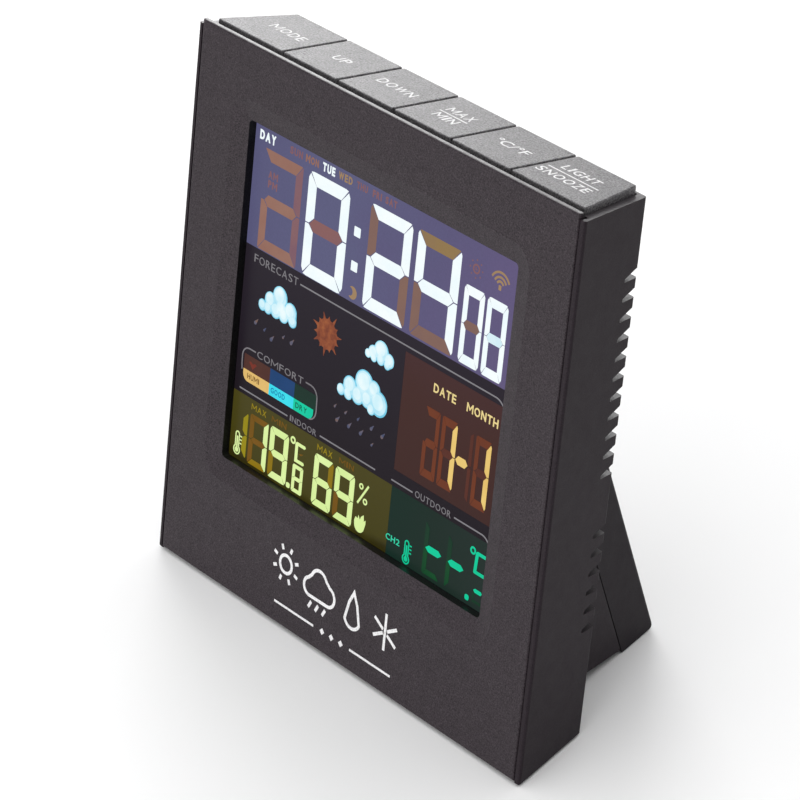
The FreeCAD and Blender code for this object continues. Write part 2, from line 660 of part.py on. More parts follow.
# barrel power socket: body, bush, bore and centre pin
jack = box(-63.8, -53.4, JY - 4.3, JY + 4.3, JZ - 4.3, JZ + 4.3)
jack = jack.fuse(cyl(3.95, V(-66.0, JY, JZ), V(-63.7, JY, JZ)))
jack = jack.cut(cyl(2.75, V(-67, JY, JZ), V(-56.5, JY, JZ)))
jack = jack.fuse(cyl(1.0, V(-65.2, JY, JZ), V(-56.0, JY, JZ)))
feature("dc_jack", jack.removeSplitter())

bz = cyl(6.0, V(36, yb + 0.05, 44), V(36, yb + 5.5, 44)).cut(cyl(1.0, V(36, yb + 3.5, 44), V(36, yb + 6, 44)))
feature("buzzer", bz)

rb = box(-46, -24, yb + 1.2, yb + 2.2, 66, 84)
for x in (-44.5, -40.5, -36.5, -32.5):
    rb = rb.fuse(box(x, x + 1.2, yb + 0.02, yb + 1.3, 67, 68.2))
rb = rb.fuse(box(-38, -32, yb + 2.1, yb + 3.4, 73, 79))
feature("receiver_board", rb.removeSplitter())

rod = cyl(3.0, V(-30, 17.6, 111), V(30, 17.6, 111))
feature("antenna_rod", rod)
coil = cyl(4.4, V(-12, 17.6, 111), V(12, 17.6, 111)).cut(cyl(3.05, V(-13, 17.6, 111), V(13, 17.6, 111)))
feature("antenna_coil", coil)

sb = box(50.5, 58.5, 16.2, 17.2, 92, 108).fuse(box(52.5, 56.5, 17.1, 18.4, 97, 103))
feature("sensor_board", sb.removeSplitter())

# ------------------------------------------------------ 11 cells and contacts
cells, springs, plates = [], [], []
CR, CL = P("cell_r"), P("cell_long")
for k in range(3):
    s = ts + P("cell_pitch") * (k + 0.5)
    n = -td + 0.15 + CR
    sg = 1 if k % 2 == 0 else -1
    a, b = on_slope(s, n, sg * -24.2), on_slope(s, n, sg * (-24.2 + CL))
    cell = cyl(CR, a, b)
    cell = cell.makeFillet(0.7, [e for e in cell.Edges if e.Curve.TypeId == "Part::GeomCircle"])
    cell = cell.fuse(cyl(2.6, b - (b - a) * 0.01, on_slope(s, n, sg * 26.4)))
    cells.append(cell.removeSplitter())
    plates.append(slope_box(*sorted((sg * 26.6, sg * 27.1)), s - 5.5, s + 5.5, -td + 0.3, 5.0))
    # conical contact spring, drawn as its plate and four stacked turns
    base = slope_box(*sorted((sg * -28.9, sg * -28.4)), s - 5.5, s + 5.5, -td + 0.3, 5.0)
    cone = base
    for t, r in enumerate((4.2, 3.7, 3.2, 2.7)):
        x = sg * (-28.1 + 1.05 * t)
        ring = Part.makeTorus(r, 0.42, on_slope(s, n, x), V(1, 0, 0))
        cone = cone.fuse(ring)
    core = cyl(0.9, on_slope(s, n, sg * -28.5), on_slope(s, n, sg * -24.9))
    web = core
    for t, r in enumerate((4.2, 3.7, 3.2, 2.7)):
        x = sg * (-28.1 + 1.05 * t)
        web = web.fuse(cyl(r, on_slope(s, n, x - 0.12), on_slope(s, n, x + 0.12)))
    springs.append(cone.fuse(web).removeSplitter())
feature("battery_cells", Part.makeCompound(cells))
feature("contact_plates", Part.makeCompound(plates))
feature("contact_springs", Part.makeCompound(springs))

# ------------------------------------------------------- 12 screws and feet
screws = []
for x, z in BOSSES:
    head = cyl(P("screw_head"), V(x, REAR - 1.95, z), V(x, REAR - 0.35, z))
    cross = box(x - 1.3, x + 1.3, REAR - 1.1, REAR, z - 0.25, z + 0.25).fuse(
        box(x - 0.25, x + 0.25, REAR - 1.1, REAR, z - 1.3, z + 1.3))
    shank = cyl(P("screw_r"), V(x, REAR - 13.0, z), V(x, REAR - 1.9, z))
    screws.append(head.cut(cross).fuse(shank).removeSplitter())
feature("case_screws", Part.makeCompound(screws))
screws = []
for x, z in POSTS:
    head = cyl(1.9, V(x, yb + 0.03, z), V(x, yb + 1.3, z))
    cross = box(x - 1.1, x + 1.1, yb + 0.7, yb + 2, z - 0.2, z + 0.2).fuse(
        box(x - 0.2, x + 0.2, yb + 0.7, yb + 2, z - 1.1, z + 1.1))
    shank = cyl(0.9, V(x, yb - 6.0, z), V(x, yb + 0.1, z))
    screws.append(head.cut(cross).fuse(shank).removeSplitter())
feature("board_screws", Part.makeCompound(screws))

feet = []
for x, y, r, hgt in FEET:
    c = Part.makeCylinder(r, hgt - 0.05, V(x, y, ground(y)), gn)
    low = [e for e in c.Edges if e.Curve.TypeId == "Part::GeomCircle"
           and abs((e.CenterOfMass - V(x, y, ground(y))).Length) < 0.05]
    feet.append(c.makeFillet(0.4, low))
feature("rubber_feet", Part.makeCompound(feet))

# ------------------------------------------------------------------- output
doc.recompute()
bad = [o.Name for o in doc.Objects if "Invalid" in o.State or "Error" in o.State]
if bad:
    print("failed objects:", bad)
    sys.exit(1)
for label, obj in PIECES:
    s = obj.Shape
    if s.isNull() or not s.isValid() or not s.Solids:
        print("bad shape:", label, s.isNull(), s.isNull() or s.isValid())
        sys.exit(1)
os.makedirs("parts", exist_ok=True)
whole = App.BoundBox()
for label, obj in PIECES:
    obj.Shape.exportStep("parts/%s.step" % label)
    whole.add(obj.Shape.BoundBox)
    print("%-22s solids %2d  volume %9.1f" % (label, len(obj.Shape.Solids), obj.Shape.Volume))
print("pieces", len(PIECES))
print("box", whole)
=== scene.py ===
import bpy, bmesh, math, json
from mathutils import Matrix, Vector


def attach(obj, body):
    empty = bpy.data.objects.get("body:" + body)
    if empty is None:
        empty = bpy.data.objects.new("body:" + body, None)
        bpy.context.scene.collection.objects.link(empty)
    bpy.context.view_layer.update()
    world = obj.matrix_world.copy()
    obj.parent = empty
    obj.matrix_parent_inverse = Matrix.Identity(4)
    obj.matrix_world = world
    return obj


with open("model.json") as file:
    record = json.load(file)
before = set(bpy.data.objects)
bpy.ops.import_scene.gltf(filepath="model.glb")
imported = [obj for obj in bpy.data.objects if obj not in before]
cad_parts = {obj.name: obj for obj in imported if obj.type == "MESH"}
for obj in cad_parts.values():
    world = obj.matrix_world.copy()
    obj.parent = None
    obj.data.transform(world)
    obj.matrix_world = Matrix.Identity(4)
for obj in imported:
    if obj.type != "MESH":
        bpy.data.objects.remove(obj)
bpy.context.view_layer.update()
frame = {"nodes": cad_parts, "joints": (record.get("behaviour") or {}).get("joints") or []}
nodes = frame["nodes"]
scene = bpy.context.scene

# ------------------------------------------------------------------ the frame
# Case frame (mm): X right, Y from the display face rearwards, Z up the panel.
# The press direction of a button gives the lean, the hinge gives the place.
press = next(j for j in frame["joints"] if j["name"] == "button_mode_press")["axis"]
hinge = next(j for j in frame["joints"] if j["name"] == "battery_cover_hinge")["pos_m"]
LEAN = math.atan2(-press[1], -press[2])
TURN = Matrix.Rotation(-LEAN, 3, "X")
HINGE = Vector((0.0, 26.0, 80.8))
SHIFT = Vector(hinge) - TURN @ (HINGE / 1000.0)
TO_WORLD = Matrix.Translation(SHIFT) @ TURN.to_4x4() @ Matrix.Scale(0.001, 4)


def W(x, y, z):
    return TO_WORLD @ Vector((x, y, z))


# ------------------------------------------------------------- node materials
def lin(r, g, b):
    """sRGB 0-255 to linear."""
    out = []
    for v in (r, g, b):
        v /= 255.0
        out.append(v / 12.92 if v <= 0.04045 else ((v + 0.055) / 1.055) ** 2.4)
    return out


def lit(rgb, veil=0.008):
    """Emitted colour of a display mark whose measured colour is rgb."""
    return [max(0.0, c - veil) for c in lin(*rgb)]


class Mat:
    def __init__(self, name):
        self.m = bpy.data.materials.new(name)
        self.m.use_nodes = True
        self.t = self.m.node_tree
        self.t.nodes.clear()
        self.out = self.t.nodes.new("ShaderNodeOutputMaterial")
        self.b = self.t.nodes.new("ShaderNodeBsdfPrincipled")
        self.t.links.new(self.b.outputs[0], self.out.inputs[0])
        self.co = self.t.nodes.new("ShaderNodeTexCoord").outputs["Object"]

    def link(self, a, b):
        self.t.links.new(a, b)

    def noise(self, size_mm, detail=2.0, rough=0.5, stretch=None, distortion=0.0):
        """Noise whose cells are about size_mm across."""
        n = self.t.nodes.new("ShaderNodeTexNoise")
        n.inputs["Scale"].default_value = 1000.0 / size_mm
        n.inputs["Detail"].default_value = detail
        n.inputs["Roughness"].default_value = rough
        n.inputs["Distortion"].default_value = distortion
        if stretch:
            mp = self.t.nodes.new("ShaderNodeMapping")
            mp.inputs["Scale"].default_value = stretch
            self.link(self.co, mp.inputs["Vector"])
            self.link(mp.outputs[0], n.inputs["Vector"])
        else:
            self.link(self.co, n.inputs["Vector"])
        return n.outputs["Fac"]

    def voronoi(self, size_mm, feature="F1"):
        n = self.t.nodes.new("ShaderNodeTexVoronoi")
        n.feature = feature
        n.inputs["Scale"].default_value = 1000.0 / size_mm
        self.link(self.co, n.inputs["Vector"])
        return n.outputs["Distance"]

    def ramp(self, src, stops, interp="LINEAR"):
        r = self.t.nodes.new("ShaderNodeValToRGB")
        r.color_ramp.interpolation = interp
        el = r.color_ramp.elements
        while len(el) < len(stops):
            el.new(0.5)
        for e, (pos, col) in zip(el, stops):
            e.position = pos
            e.color = (*col, 1.0) if hasattr(col, "__len__") else (col, col, col, 1.0)
        self.link(src, r.inputs[0])
        return r.outputs[0]

    def span(self, src, a, b, lo, hi):
        r = self.t.nodes.new("ShaderNodeMapRange")
        r.inputs["From Min"].default_value = a
        r.inputs["From Max"].default_value = b
        r.inputs["To Min"].default_value = lo
        r.inputs["To Max"].default_value = hi
        self.link(src, r.inputs["Value"])
        return r.outputs[0]

    def math(self, op, a, b=None, clamp=False):
        n = self.t.nodes.new("ShaderNodeMath")
        n.operation = op
        n.use_clamp = clamp
        for i, v in enumerate((a, b)):
            if v is None:
                continue
            if hasattr(v, "links"):
                self.link(v, n.inputs[i])
            else:
                n.inputs[i].default_value = v
        return n.outputs[0]

    def mix(self, fac, a, b, mode="MIX"):
        n = self.t.nodes.new("ShaderNodeMix")
        n.data_type = "RGBA"
        n.blend_type = mode
        for key, v in ((0, fac), (6, a), (7, b)):
            if hasattr(v, "links"):
                self.link(v, n.inputs[key])
            else:
                n.inputs[key].default_value = (*v, 1.0) if hasattr(v, "__len__") else v
        return n.outputs[2]

    def case_axis(self, axis):
        """Distance in mm along an axis of the case frame."""
        inv = TO_WORLD.inverted()
        row = inv[axis]
        n = self.t.nodes.new("ShaderNodeVectorMath")
        n.operation = "DOT_PRODUCT"
        n.inputs[1].default_value = (row[0], row[1], row[2])
        self.link(self.co, n.inputs[0])
        return self.math("ADD", n.outputs["Value"], row[3])

    def bump(self, layers):
        """layers: (height socket, distance in mm, strength)"""
        prev = None
        for h, dist, strength in layers:
            n = self.t.nodes.new("ShaderNodeBump")
            n.inputs["Distance"].default_value = dist / 1000.0
            n.inputs["Strength"].default_value = strength
            self.link(h, n.inputs["Height"])
            if prev is not None:
                self.link(prev, n.inputs["Normal"])
            prev = n.outputs[0]
        self.link(prev, self.b.inputs["Normal"])

    def set(self, **kw):
        names = {"rough": "Roughness", "metal": "Metallic", "ior": "IOR", "spec": "Specular IOR Level",
                 "coat": "Coat Weight", "coat_rough": "Coat Roughness", "trans": "Transmission Weight",
                 "sheen": "Sheen Weight", "emit": "Emission Strength", "sss": "Subsurface Weight"}
        for k, v in kw.items():
            self.b.inputs[names[k]].default_value = v
        return self

    def color(self, socket):
        self.link(socket, self.b.inputs["Base Color"])

    def roughness(self, socket):
        self.link(socket, self.b.inputs["Roughness"])


def plastic(name, base, rough=(0.46, 0.62), grain=0.34, depth=0.022, speck=0.35, spec=0.5, painted_window_shade=False, mottle=0.04, shelf=0.0, sparkle=0.25):
    """Spark-eroded moulded plastic: a fine grain of about a third of a
    millimetre, faint mould mottling, and rubbed, smoother patches."""
    m = Mat(name)
    fine = m.noise(grain, 3.0, 0.62)
    pits = m.voronoi(grain * 1.5)
    mott = m.noise(11.0, 3.0, 0.55)
    wide = m.noise(46.0, 2.0, 0.5)
    rub = m.noise(3.2, 4.0, 0.6)
    dark = [c * (1 - speck) for c in base]
    light = [c * (1 + speck * 1.25) for c in base]
    col = m.ramp(fine, [(0.30, dark), (0.52, base), (0.72, light)])
    col = m.mix(m.span(mott, 0.3, 0.7, 0.0, mottle), col, [c * 1.22 for c in base])
    col = m.mix(m.span(wide, 0.35, 0.65, 0.0, mottle), col, [base[0] * 0.82, base[1] * 0.84, base[2] * 0.9])
    if painted_window_shade:
        # painted shade: the inner faces of the window and the rebate are coloured near-black, standing in for the shade
        # that falls inside the recess
        x, y, z = (m.case_axis(i) for i in range(3))
        deep = m.span(y, 1.46, 1.56, 0.0, 1.0)
        inx = m.math("LESS_THAN", m.math("ABSOLUTE", x), 50.2)
        inz = m.math("MULTIPLY", m.math("GREATER_THAN", z, 31.8), m.math("LESS_THAN", z, 121.0))
        mask = m.math("MULTIPLY", deep, m.math("MULTIPLY", inx, inz))
        col = m.mix(mask, col, (0.0012, 0.0011, 0.0014))
    m.color(col)
    r = m.math("ADD", m.span(rub, 0.3, 0.7, rough[0], rough[1]), m.span(fine, 0.3, 0.7, -0.04, 0.05))
    if shelf:
        # ledges and ridges that face up are parting faces: smoother, fuller shine
        up = m.t.nodes.new("ShaderNodeVectorMath")
        up.operation = "DOT_PRODUCT"
        up.inputs[1].default_value = (0.0, 0.0, 1.0)
        m.link(m.t.nodes.new("ShaderNodeNewGeometry").outputs["Normal"], up.inputs[0])
        face = m.span(up.outputs["Value"], 0.75, 0.93, 0.0, 1.0)
        r = m.math("SUBTRACT", r, m.math("MULTIPLY", face, 0.14))
        level = m.math("ADD", m.math("MULTIPLY", face, shelf - spec), spec)
    else:
        level = m.math("ADD", m.math("MULTIPLY", fine, 0.001), spec)
    level = m.math("MULTIPLY", level, m.span(fine, 0.30, 0.70, 1.0 - sparkle, 1.0 + sparkle))
    m.link(level, m.b.inputs["Specular IOR Level"])
    m.roughness(r)
    m.bump([(mott, 0.03, 0.04), (pits, depth * 1.1, 0.35), (fine, depth, 0.75)])
    return m.m


def glow(name, rgb, mottle=0.10, size=7.0, strength=1.0, second=None, grain=0.5):
    """Back-lit liquid crystal film: emitted colour, uneven as a light guide
    is, under a smooth polariser."""
    m = Mat(name)
    a = lit(rgb)
    b = lit(second) if second else [c * (1 - mottle) for c in a]
    big = m.noise(size, 2.0, 0.5)
    small = m.noise(grain, 2.0, 0.5)
    col = m.mix(m.span(big, 0.32, 0.68, 0.0, 1.0), a, b)
    col = m.mix(m.span(small, 0.3, 0.7, 0.0, 0.10), col, [c * 0.6 for c in a])
    m.link(col, m.b.inputs["Emission Color"])
    m.color(m.mix(m.span(small, 0.3, 0.7, 0.0, 1.0), (0.002, 0.002, 0.003), (0.004, 0.004, 0.005)))
    m.roughness(m.span(big, 0.3, 0.7, 0.32, 0.42))
    m.set(emit=strength, ior=1.12)
    return m.m


def sweep(name, axis, a, b, colours, mottle=0.05):
    """Back-lit film whose colour drifts across the display."""
    m = Mat(name)
    t = m.span(m.case_axis(axis), a, b, 0.0, 1.0)
    wob = m.noise(16.0, 2.0, 0.5)
    t = m.math("ADD", t, m.span(wob, 0.3, 0.7, -0.10, 0.10))
    col = m.ramp(t, [(p, lit(c)) for p, c in colours])
    grain = m.noise(0.45, 2.0, 0.6)
    col = m.mix(m.span(grain, 0.3, 0.7, 0.0, mottle * 2), col, (0.0, 0.0, 0.0))
    m.link(col, m.b.inputs["Emission Color"])
    m.color(m.mix(m.span(grain, 0.3, 0.7, 0.0, 1.0), (0.002, 0.002, 0.003), (0.004, 0.004, 0.005)))
    m.roughness(m.span(wob, 0.3, 0.7, 0.30, 0.42))
    m.set(emit=1.0, ior=1.12)
    return m.m


def ink(name, rgb, rough=0.55):
    m = Mat(name)
    a = lin(*rgb)
    n = m.noise(0.5, 3.0, 0.65)
    w = m.noise(5.0, 3.0, 0.6)
    col = m.ramp(n, [(0.28, [c * 0.62 for c in a]), (0.5, a), (0.75, [min(1, c * 1.06) for c in a])])
    col = m.mix(m.span(w, 0.35, 0.7, 0.0, 0.15), col, [c * 0.7 for c in a])
    m.color(col)
    m.roughness(m.span(n, 0.3, 0.7, rough - 0.1, rough + 0.12))
    m.bump([(n, 0.012, 0.6)])
    return m.m


def metal(name, base, rough, brush=None, tarnish=None):
    m = Mat(name)
    n = m.noise(0.25, 3.0, 0.6, stretch=brush)
    w = m.noise(2.4, 4.0, 0.6)
    col = m.ramp(n, [(0.3, [c * 0.8 for c in base]), (0.7, base)])
    col = m.mix(m.span(w, 0.45, 0.75, 0.0, 0.5), col, tarnish or [c * 0.6 for c in base])
    m.color(col)
    m.roughness(m.math("ADD", m.span(n, 0.3, 0.7, rough - 0.06, rough + 0.06), m.span(w, 0.3, 0.8, -0.03, 0.12)))
    m.bump([(n, 0.006, 0.4)])
    m.set(metal=1.0)
    return m.m


def board(name, mask, copper):
    """Solder mask over copper tracks that show as raised, paler lines."""
    m = Mat(name)
    br = m.t.nodes.new("ShaderNodeTexBrick")
    br.offset = 0.37
    br.inputs["Scale"].default_value = 1000.0
    br.inputs["Brick Width"].default_value = 5.4
    br.inputs["Row Height"].default_value = 1.15
    br.inputs["Mortar Size"].default_value = 0.12
    br.inputs["Mortar Smooth"].default_value = 0.4
    mp = m.t.nodes.new("ShaderNodeMapping")
    mp.inputs["Rotation"].default_value = (math.radians(90) - LEAN, 0, 0)
    m.link(m.co, mp.inputs["Vector"])
    m.link(mp.outputs[0], br.inputs["Vector"])
    n = m.noise(6.0, 3.0, 0.6)
    f = m.noise(0.4, 3.0, 0.6)
    lines = br.outputs["Fac"]
    col = m.mix(lines, mask, copper)
    col = m.mix(m.span(n, 0.35, 0.7, 0.0, 0.35), col, [c * 0.6 for c in mask])
    m.color(col)
    m.roughness(m.span(f, 0.3, 0.7, 0.30, 0.46))
    m.bump([(lines, 0.04, 0.5), (f, 0.008, 0.4)])
    return m.m


def translucent(name, base, rough):
    m = Mat(name)
    dots = m.voronoi(1.6)
    n = m.noise(9.0, 2.0, 0.5)
    col = m.ramp(dots, [(0.12, [min(1, c * 1.1) for c in base]), (0.3, base), (0.7, [c * 0.9 for c in base])])
    col = m.mix(m.span(n, 0.3, 0.7, 0.0, 0.2), col, [c * 0.85 for c in base])
    m.color(col)
    m.roughness(m.span(n, 0.3, 0.7, rough - 0.08, rough + 0.08))
    m.bump([(dots, 0.02, 0.3)])
    m.set(sss=0.0)
    return m.m


BLACK = lin(52, 47, 52)
# the panel carries painted shade: near-black colour on the inner walls of the display window
PANEL = plastic("panel_charcoal", [c * 0.36 for c in lin(73, 61, 69)], rough=(0.50, 0.58), speck=0.75, spec=0.26, painted_window_shade=True, shelf=0.80, sparkle=0.4)
SHELL = plastic("shell_charcoal", [c * 0.25 for c in lin(66, 51, 62)], rough=(0.54, 0.60), speck=0.3, spec=0.18, depth=0.018, shelf=0.9)
COVER = plastic("cover_charcoal", [c * 0.21 for c in lin(65, 52, 63)], rough=(0.56, 0.62), grain=0.3, speck=0.3, spec=0.15, depth=0.018, shelf=0.5)
KEYS = plastic("key_charcoal", lin(86, 84, 86), rough=(0.40, 0.45), grain=0.42, depth=0.055, speck=0.9, spec=0.50, sparkle=0.75)
RAIL = plastic("rail_black", lin(20, 18, 20), rough=(0.5, 0.65))
RESIN = plastic("resin_black", lin(28, 28, 30), rough=(0.30, 0.42), grain=0.2, depth=0.006, speck=0.2)
SWITCH = plastic("switch_plastic_black", lin(34, 34, 36), rough=(0.36, 0.5), grain=0.2, depth=0.006, speck=0.2)
FRAME = plastic("frame_white", lin(226, 226, 222), rough=(0.42, 0.55), grain=0.3, depth=0.01, speck=0.06)
RUBBER = plastic("foot_rubber_black", lin(30, 29, 30), rough=(0.72, 0.88), grain=0.5, depth=0.03, speck=0.25, spec=0.35)
STRIP = plastic("strip_rubber_rose", lin(178, 150, 156), rough=(0.7, 0.85), grain=0.3, depth=0.02, speck=0.12, spec=0.3)
GUIDE = translucent("light_guide_milk", lin(232, 236, 240), 0.35)
FERRITE = plastic("ferrite_grey", lin(66, 66, 70), rough=(0.5, 0.7), grain=0.25, depth=0.03, speck=0.3)
PCB = board("board_green", lin(26, 92, 52), lin(62, 138, 84))
RADIO = board("board_blue", lin(22, 62, 116), lin(60, 110, 160))
STEEL = metal("screw_zinc", lin(178, 180, 184), 0.34)
NICKEL = metal("contact_nickel", lin(206, 202, 192), 0.22, tarnish=lin(150, 142, 122))


def copper():
    m = Mat("enamelled_copper")
    w = m.t.nodes.new("ShaderNodeTexWave")
    w.wave_type = "BANDS"
    w.bands_direction = "X"
    w.inputs["Scale"].default_value = 1000.0 / 0.35 / 6.2832 * 2
    w.inputs["Distortion"].default_value = 0.4
    m.link(m.co, w.inputs["Vector"])
    n = m.noise(1.5, 3.0, 0.6)
    col = m.mix(w.outputs["Fac"], lin(120, 58, 26), lin(206, 118, 62))
    col = m.mix(m.span(n, 0.4, 0.7, 0.0, 0.4), col, lin(96, 46, 24))
    m.color(col)
    m.roughness(m.span(n, 0.3, 0.7, 0.24, 0.38))
    m.bump([(w.outputs["Fac"], 0.12, 0.8)])
    m.set(metal=0.7)
    return m.m


def cell_wrap():
    """Printed sleeve of a cell: blue with a darker band and a bare rim."""
    m = Mat("cell_sleeve")
    x = m.math("ABSOLUTE", m.case_axis(0))
    n = m.noise(3.5, 3.0, 0.6)
    f = m.noise(0.3, 2.0, 0.6)
    t = m.span(x, 0.0, 25.0, 0.0, 1.0)
    col = m.ramp(t, [(0.0, lin(38, 84, 150)), (0.60, lin(34, 76, 140)), (0.62, lin(212, 214, 216)),
                     (0.66, lin(212, 214, 216)), (0.68, lin(30, 32, 38)), (0.93, lin(28, 30, 36)),
                     (0.965, lin(190, 188, 182))])
    col = m.mix(m.span(n, 0.4, 0.7, 0.0, 0.15), col, (0.02, 0.03, 0.05))
    m.color(col)
    m.roughness(m.span(n, 0.3, 0.7, 0.16, 0.3))
    m.bump([(n, 0.05, 0.12), (f, 0.004, 0.3)])
    m.set(coat=0.35, coat_rough=0.12)
    return m.m


def glass():
    m = Mat("display_glass_black")
    n = m.noise(14.0, 2.0, 0.5)
    f = m.noise(0.6, 3.0, 0.7)
    m.color(m.mix(m.span(n, 0.3, 0.7, 0.0, 1.0), (0.0035, 0.003, 0.0042), (0.0065, 0.006, 0.008)))
    m.roughness(m.span(f, 0.3, 0.7, 0.10, 0.20))
    m.set(spec=0.5)
    return m.m


GLASS = glass()
COPPER = copper()
SLEEVE = cell_wrap()

LOOKS = {
    "front_panel": PANEL, "rear_cover": SHELL, "battery_cover": COVER, "lcd_glass": GLASS,
    "backlight_panel": GUIDE, "display_frame": FRAME, "contact_strips": STRIP, "main_board": PCB,
    "main_chip": RESIN, "button_rail": RAIL, "button_board": PCB, "tact_switches": SWITCH,
    "dc_jack": RESIN, "buzzer": RESIN, "receiver_board": RADIO, "antenna_rod": FERRITE,
    "antenna_coil": COPPER, "sensor_board": RADIO, "battery_cells": SLEEVE, "contact_plates": NICKEL,
    "contact_springs": NICKEL, "case_screws": STEEL, "board_screws": STEEL, "rubber_feet": RUBBER,
}
BUTTONS = ["button_mode", "button_up", "button_down", "button_max_min", "button_unit", "button_light_snooze"]
for b in BUTTONS:
    LOOKS[b] = KEYS
for name, mat in LOOKS.items():
    o = nodes[name]
    if not o.material_slots:
        o.data.materials.append(mat)
    for s in o.material_slots:
        s.material = mat

# --------------------------------------------------------------- mesh helpers
def add(name, bm, mat, body, smooth=False):
    """bm is in the case frame, mm."""
    bm.transform(TO_WORLD)
    bmesh.ops.recalc_face_normals(bm, faces=bm.faces)
    me = bpy.data.meshes.new(name)
    bm.to_mesh(me)
    bm.free()
    o = bpy.data.objects.new(name, me)
    scene.collection.objects.link(o)
    me.materials.append(mat)
    for p in me.polygons:
        p.use_smooth = smooth
    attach(o, body)
    return o


def clean(pts):
    out = []
    for p in pts:
        if not out or (abs(p[0] - out[-1][0]) + abs(p[1] - out[-1][1])) > 1e-4:
            out.append(p)
    if (abs(out[0][0] - out[-1][0]) + abs(out[0][1] - out[-1][1])) < 1e-4:
        out.pop()
    return out


def slab(bm, pts, y0, y1):
    """Closed prism: outline in (x, z) between two depths y."""
    pts = clean(pts)
    a = [bm.verts.new((x, y0, z)) for x, z in pts]
    b = [bm.verts.new((x, y1, z)) for x, z in pts]
    n = len(pts)
    bm.faces.new(a)
    bm.faces.new(b[::-1])
    for i in range(n):
        j = (i + 1) % n
        bm.faces.new((a[i], b[i], b[j], a[j]))


def arc(cx, cz, r, a0, a1, n=8, rz=None):
    rz = r if rz is None else rz
    return [(cx + r * math.cos(math.radians(a0 + (a1 - a0) * i / n)),
             cz + rz * math.sin(math.radians(a0 + (a1 - a0) * i / n))) for i in range(n + 1)]


def circle(cx, cz, r, n=24, rz=None):
    return arc(cx, cz, r, 0, 360 - 360.0 / n, n - 1, rz)


def rbox(x0, x1, z0, z1, r=0.0, n=5, corners=(1, 1, 1, 1)):
    """Rounded rectangle; corners: lower left, lower right, upper right, upper left."""
    pts = []
    for (cx, cz, a, on) in ((x0, z0, 180, corners[0]), (x1, z0, 270, corners[1]),
                            (x1, z1, 0, corners[2]), (x0, z1, 90, corners[3])):
        rr = r if on else 0.0
        if rr <= 0:
            pts.append((cx, cz))
        else:
            ox = cx + rr if cx == x0 else cx - rr
            oz = cz + rr if cz == z0 else cz - rr
            pts += arc(ox, oz, rr, a, a + 90, n)
    return pts


def ribbon(pts, w, closed=False):
    """Outline of a stroke of width w along points."""
    n = len(pts)
    left, right = [], []
    for i in range(n):
        p = Vector(pts[i])
        a = Vector(pts[i - 1]) if (i > 0 or closed) else p
        b = Vector(pts[(i + 1) % n]) if (i < n - 1 or closed) else p
        d1 = (p - a).normalized() if (p - a).length > 1e-9 else (b - p).normalized()
        d2 = (b - p).normalized() if (b - p).length > 1e-9 else d1
        t = (d1 + d2)
        t = t.normalized() if t.length > 1e-6 else d1
        nrm = Vector((-t[1], t[0]))
        k = 1.0 / max(0.35, nrm.dot(Vector((-d1[1], d1[0]))))
        left.append(tuple(p + nrm * (w / 2 * k)))
        right.append(tuple(p - nrm * (w / 2 * k)))
    return left, right


def stroke(bm, pts, w, y0, y1, closed=False):
    left, right = ribbon(pts, w, closed)
    n = len(pts)
    vl0 = [bm.verts.new((x, y0, z)) for x, z in left]
    vl1 = [bm.verts.new((x, y1, z)) for x, z in left]
    vr0 = [bm.verts.new((x, y0, z)) for x, z in right]
    vr1 = [bm.verts.new((x, y1, z)) for x, z in right]
    last = n if closed else n - 1
    for i in range(last):
        j = (i + 1) % n
        bm.faces.new((vl0[i], vl0[j], vr0[j], vr0[i]))
        bm.faces.new((vl1[i], vr1[i], vr1[j], vl1[j]))
        bm.faces.new((vl0[i], vl1[i], vl1[j], vl0[j]))
        bm.faces.new((vr0[i], vr0[j], vr1[j], vr1[i]))
    if not closed:
        bm.faces.new((vl0[0], vr0[0], vr1[0], vl1[0]))
        bm.faces.new((vl0[-1], vl1[-1], vr1[-1], vr0[-1]))


def text_mesh(body_text, x0, x1, lo, hi, bold=0.0, spacing=1.0):
    """A closed text mesh scaled into x0..x1 and lo..hi (flat in x, y; thickness 1 in z)."""
    cu = bpy.data.curves.new("label", "FONT")
    cu.body = body_text
    cu.size = 1.0
    cu.offset = bold
    cu.extrude = 0.5
    cu.space_character = spacing
    cu.resolution_u = 3
    o = bpy.data.objects.new("label", cu)
    scene.collection.objects.link(o)
    bpy.context.view_layer.update()
    dg = bpy.context.evaluated_depsgraph_get()
    me = bpy.data.meshes.new_from_object(o.evaluated_get(dg))
    bm = bmesh.new()
    bm.from_mesh(me)
    bpy.data.objects.remove(o)
    bpy.data.meshes.remove(me)
    bmesh.ops.remove_doubles(bm, verts=bm.verts, dist=1e-5)
    xs = [v.co.x for v in bm.verts]
    ys = [v.co.y for v in bm.verts]
    ax, bx, ay, by = min(xs), max(xs), min(ys), max(ys)
    for v in bm.verts:
        v.co.x = x0 + (v.co.x - ax) / (bx - ax) * (x1 - x0)
        v.co.y = lo + (v.co.y - ay) / (by - ay) * (hi - lo)
    return bm


def join(bm, other):
    me = bpy.data.meshes.new("tmp")
    other.to_mesh(me)
    bm.from_mesh(me)
    other.free()
    bpy.data.meshes.remove(me)


WIDE = {"M": 1.28, "W": 1.36, "I": 0.32, "O": 1.12, "N": 1.0, "A": 1.06, "X": 1.0, "T": 0.92, "H": 1.0, "P": 0.84,
        "U": 0.96, "D": 1.0, "E": 0.80, "C": 1.0, "F": 0.78, "R": 0.90, "S": 0.84, "Y": 0.98, "G": 1.08, "L": 0.76,
        "Z": 0.86, "2": 0.86}


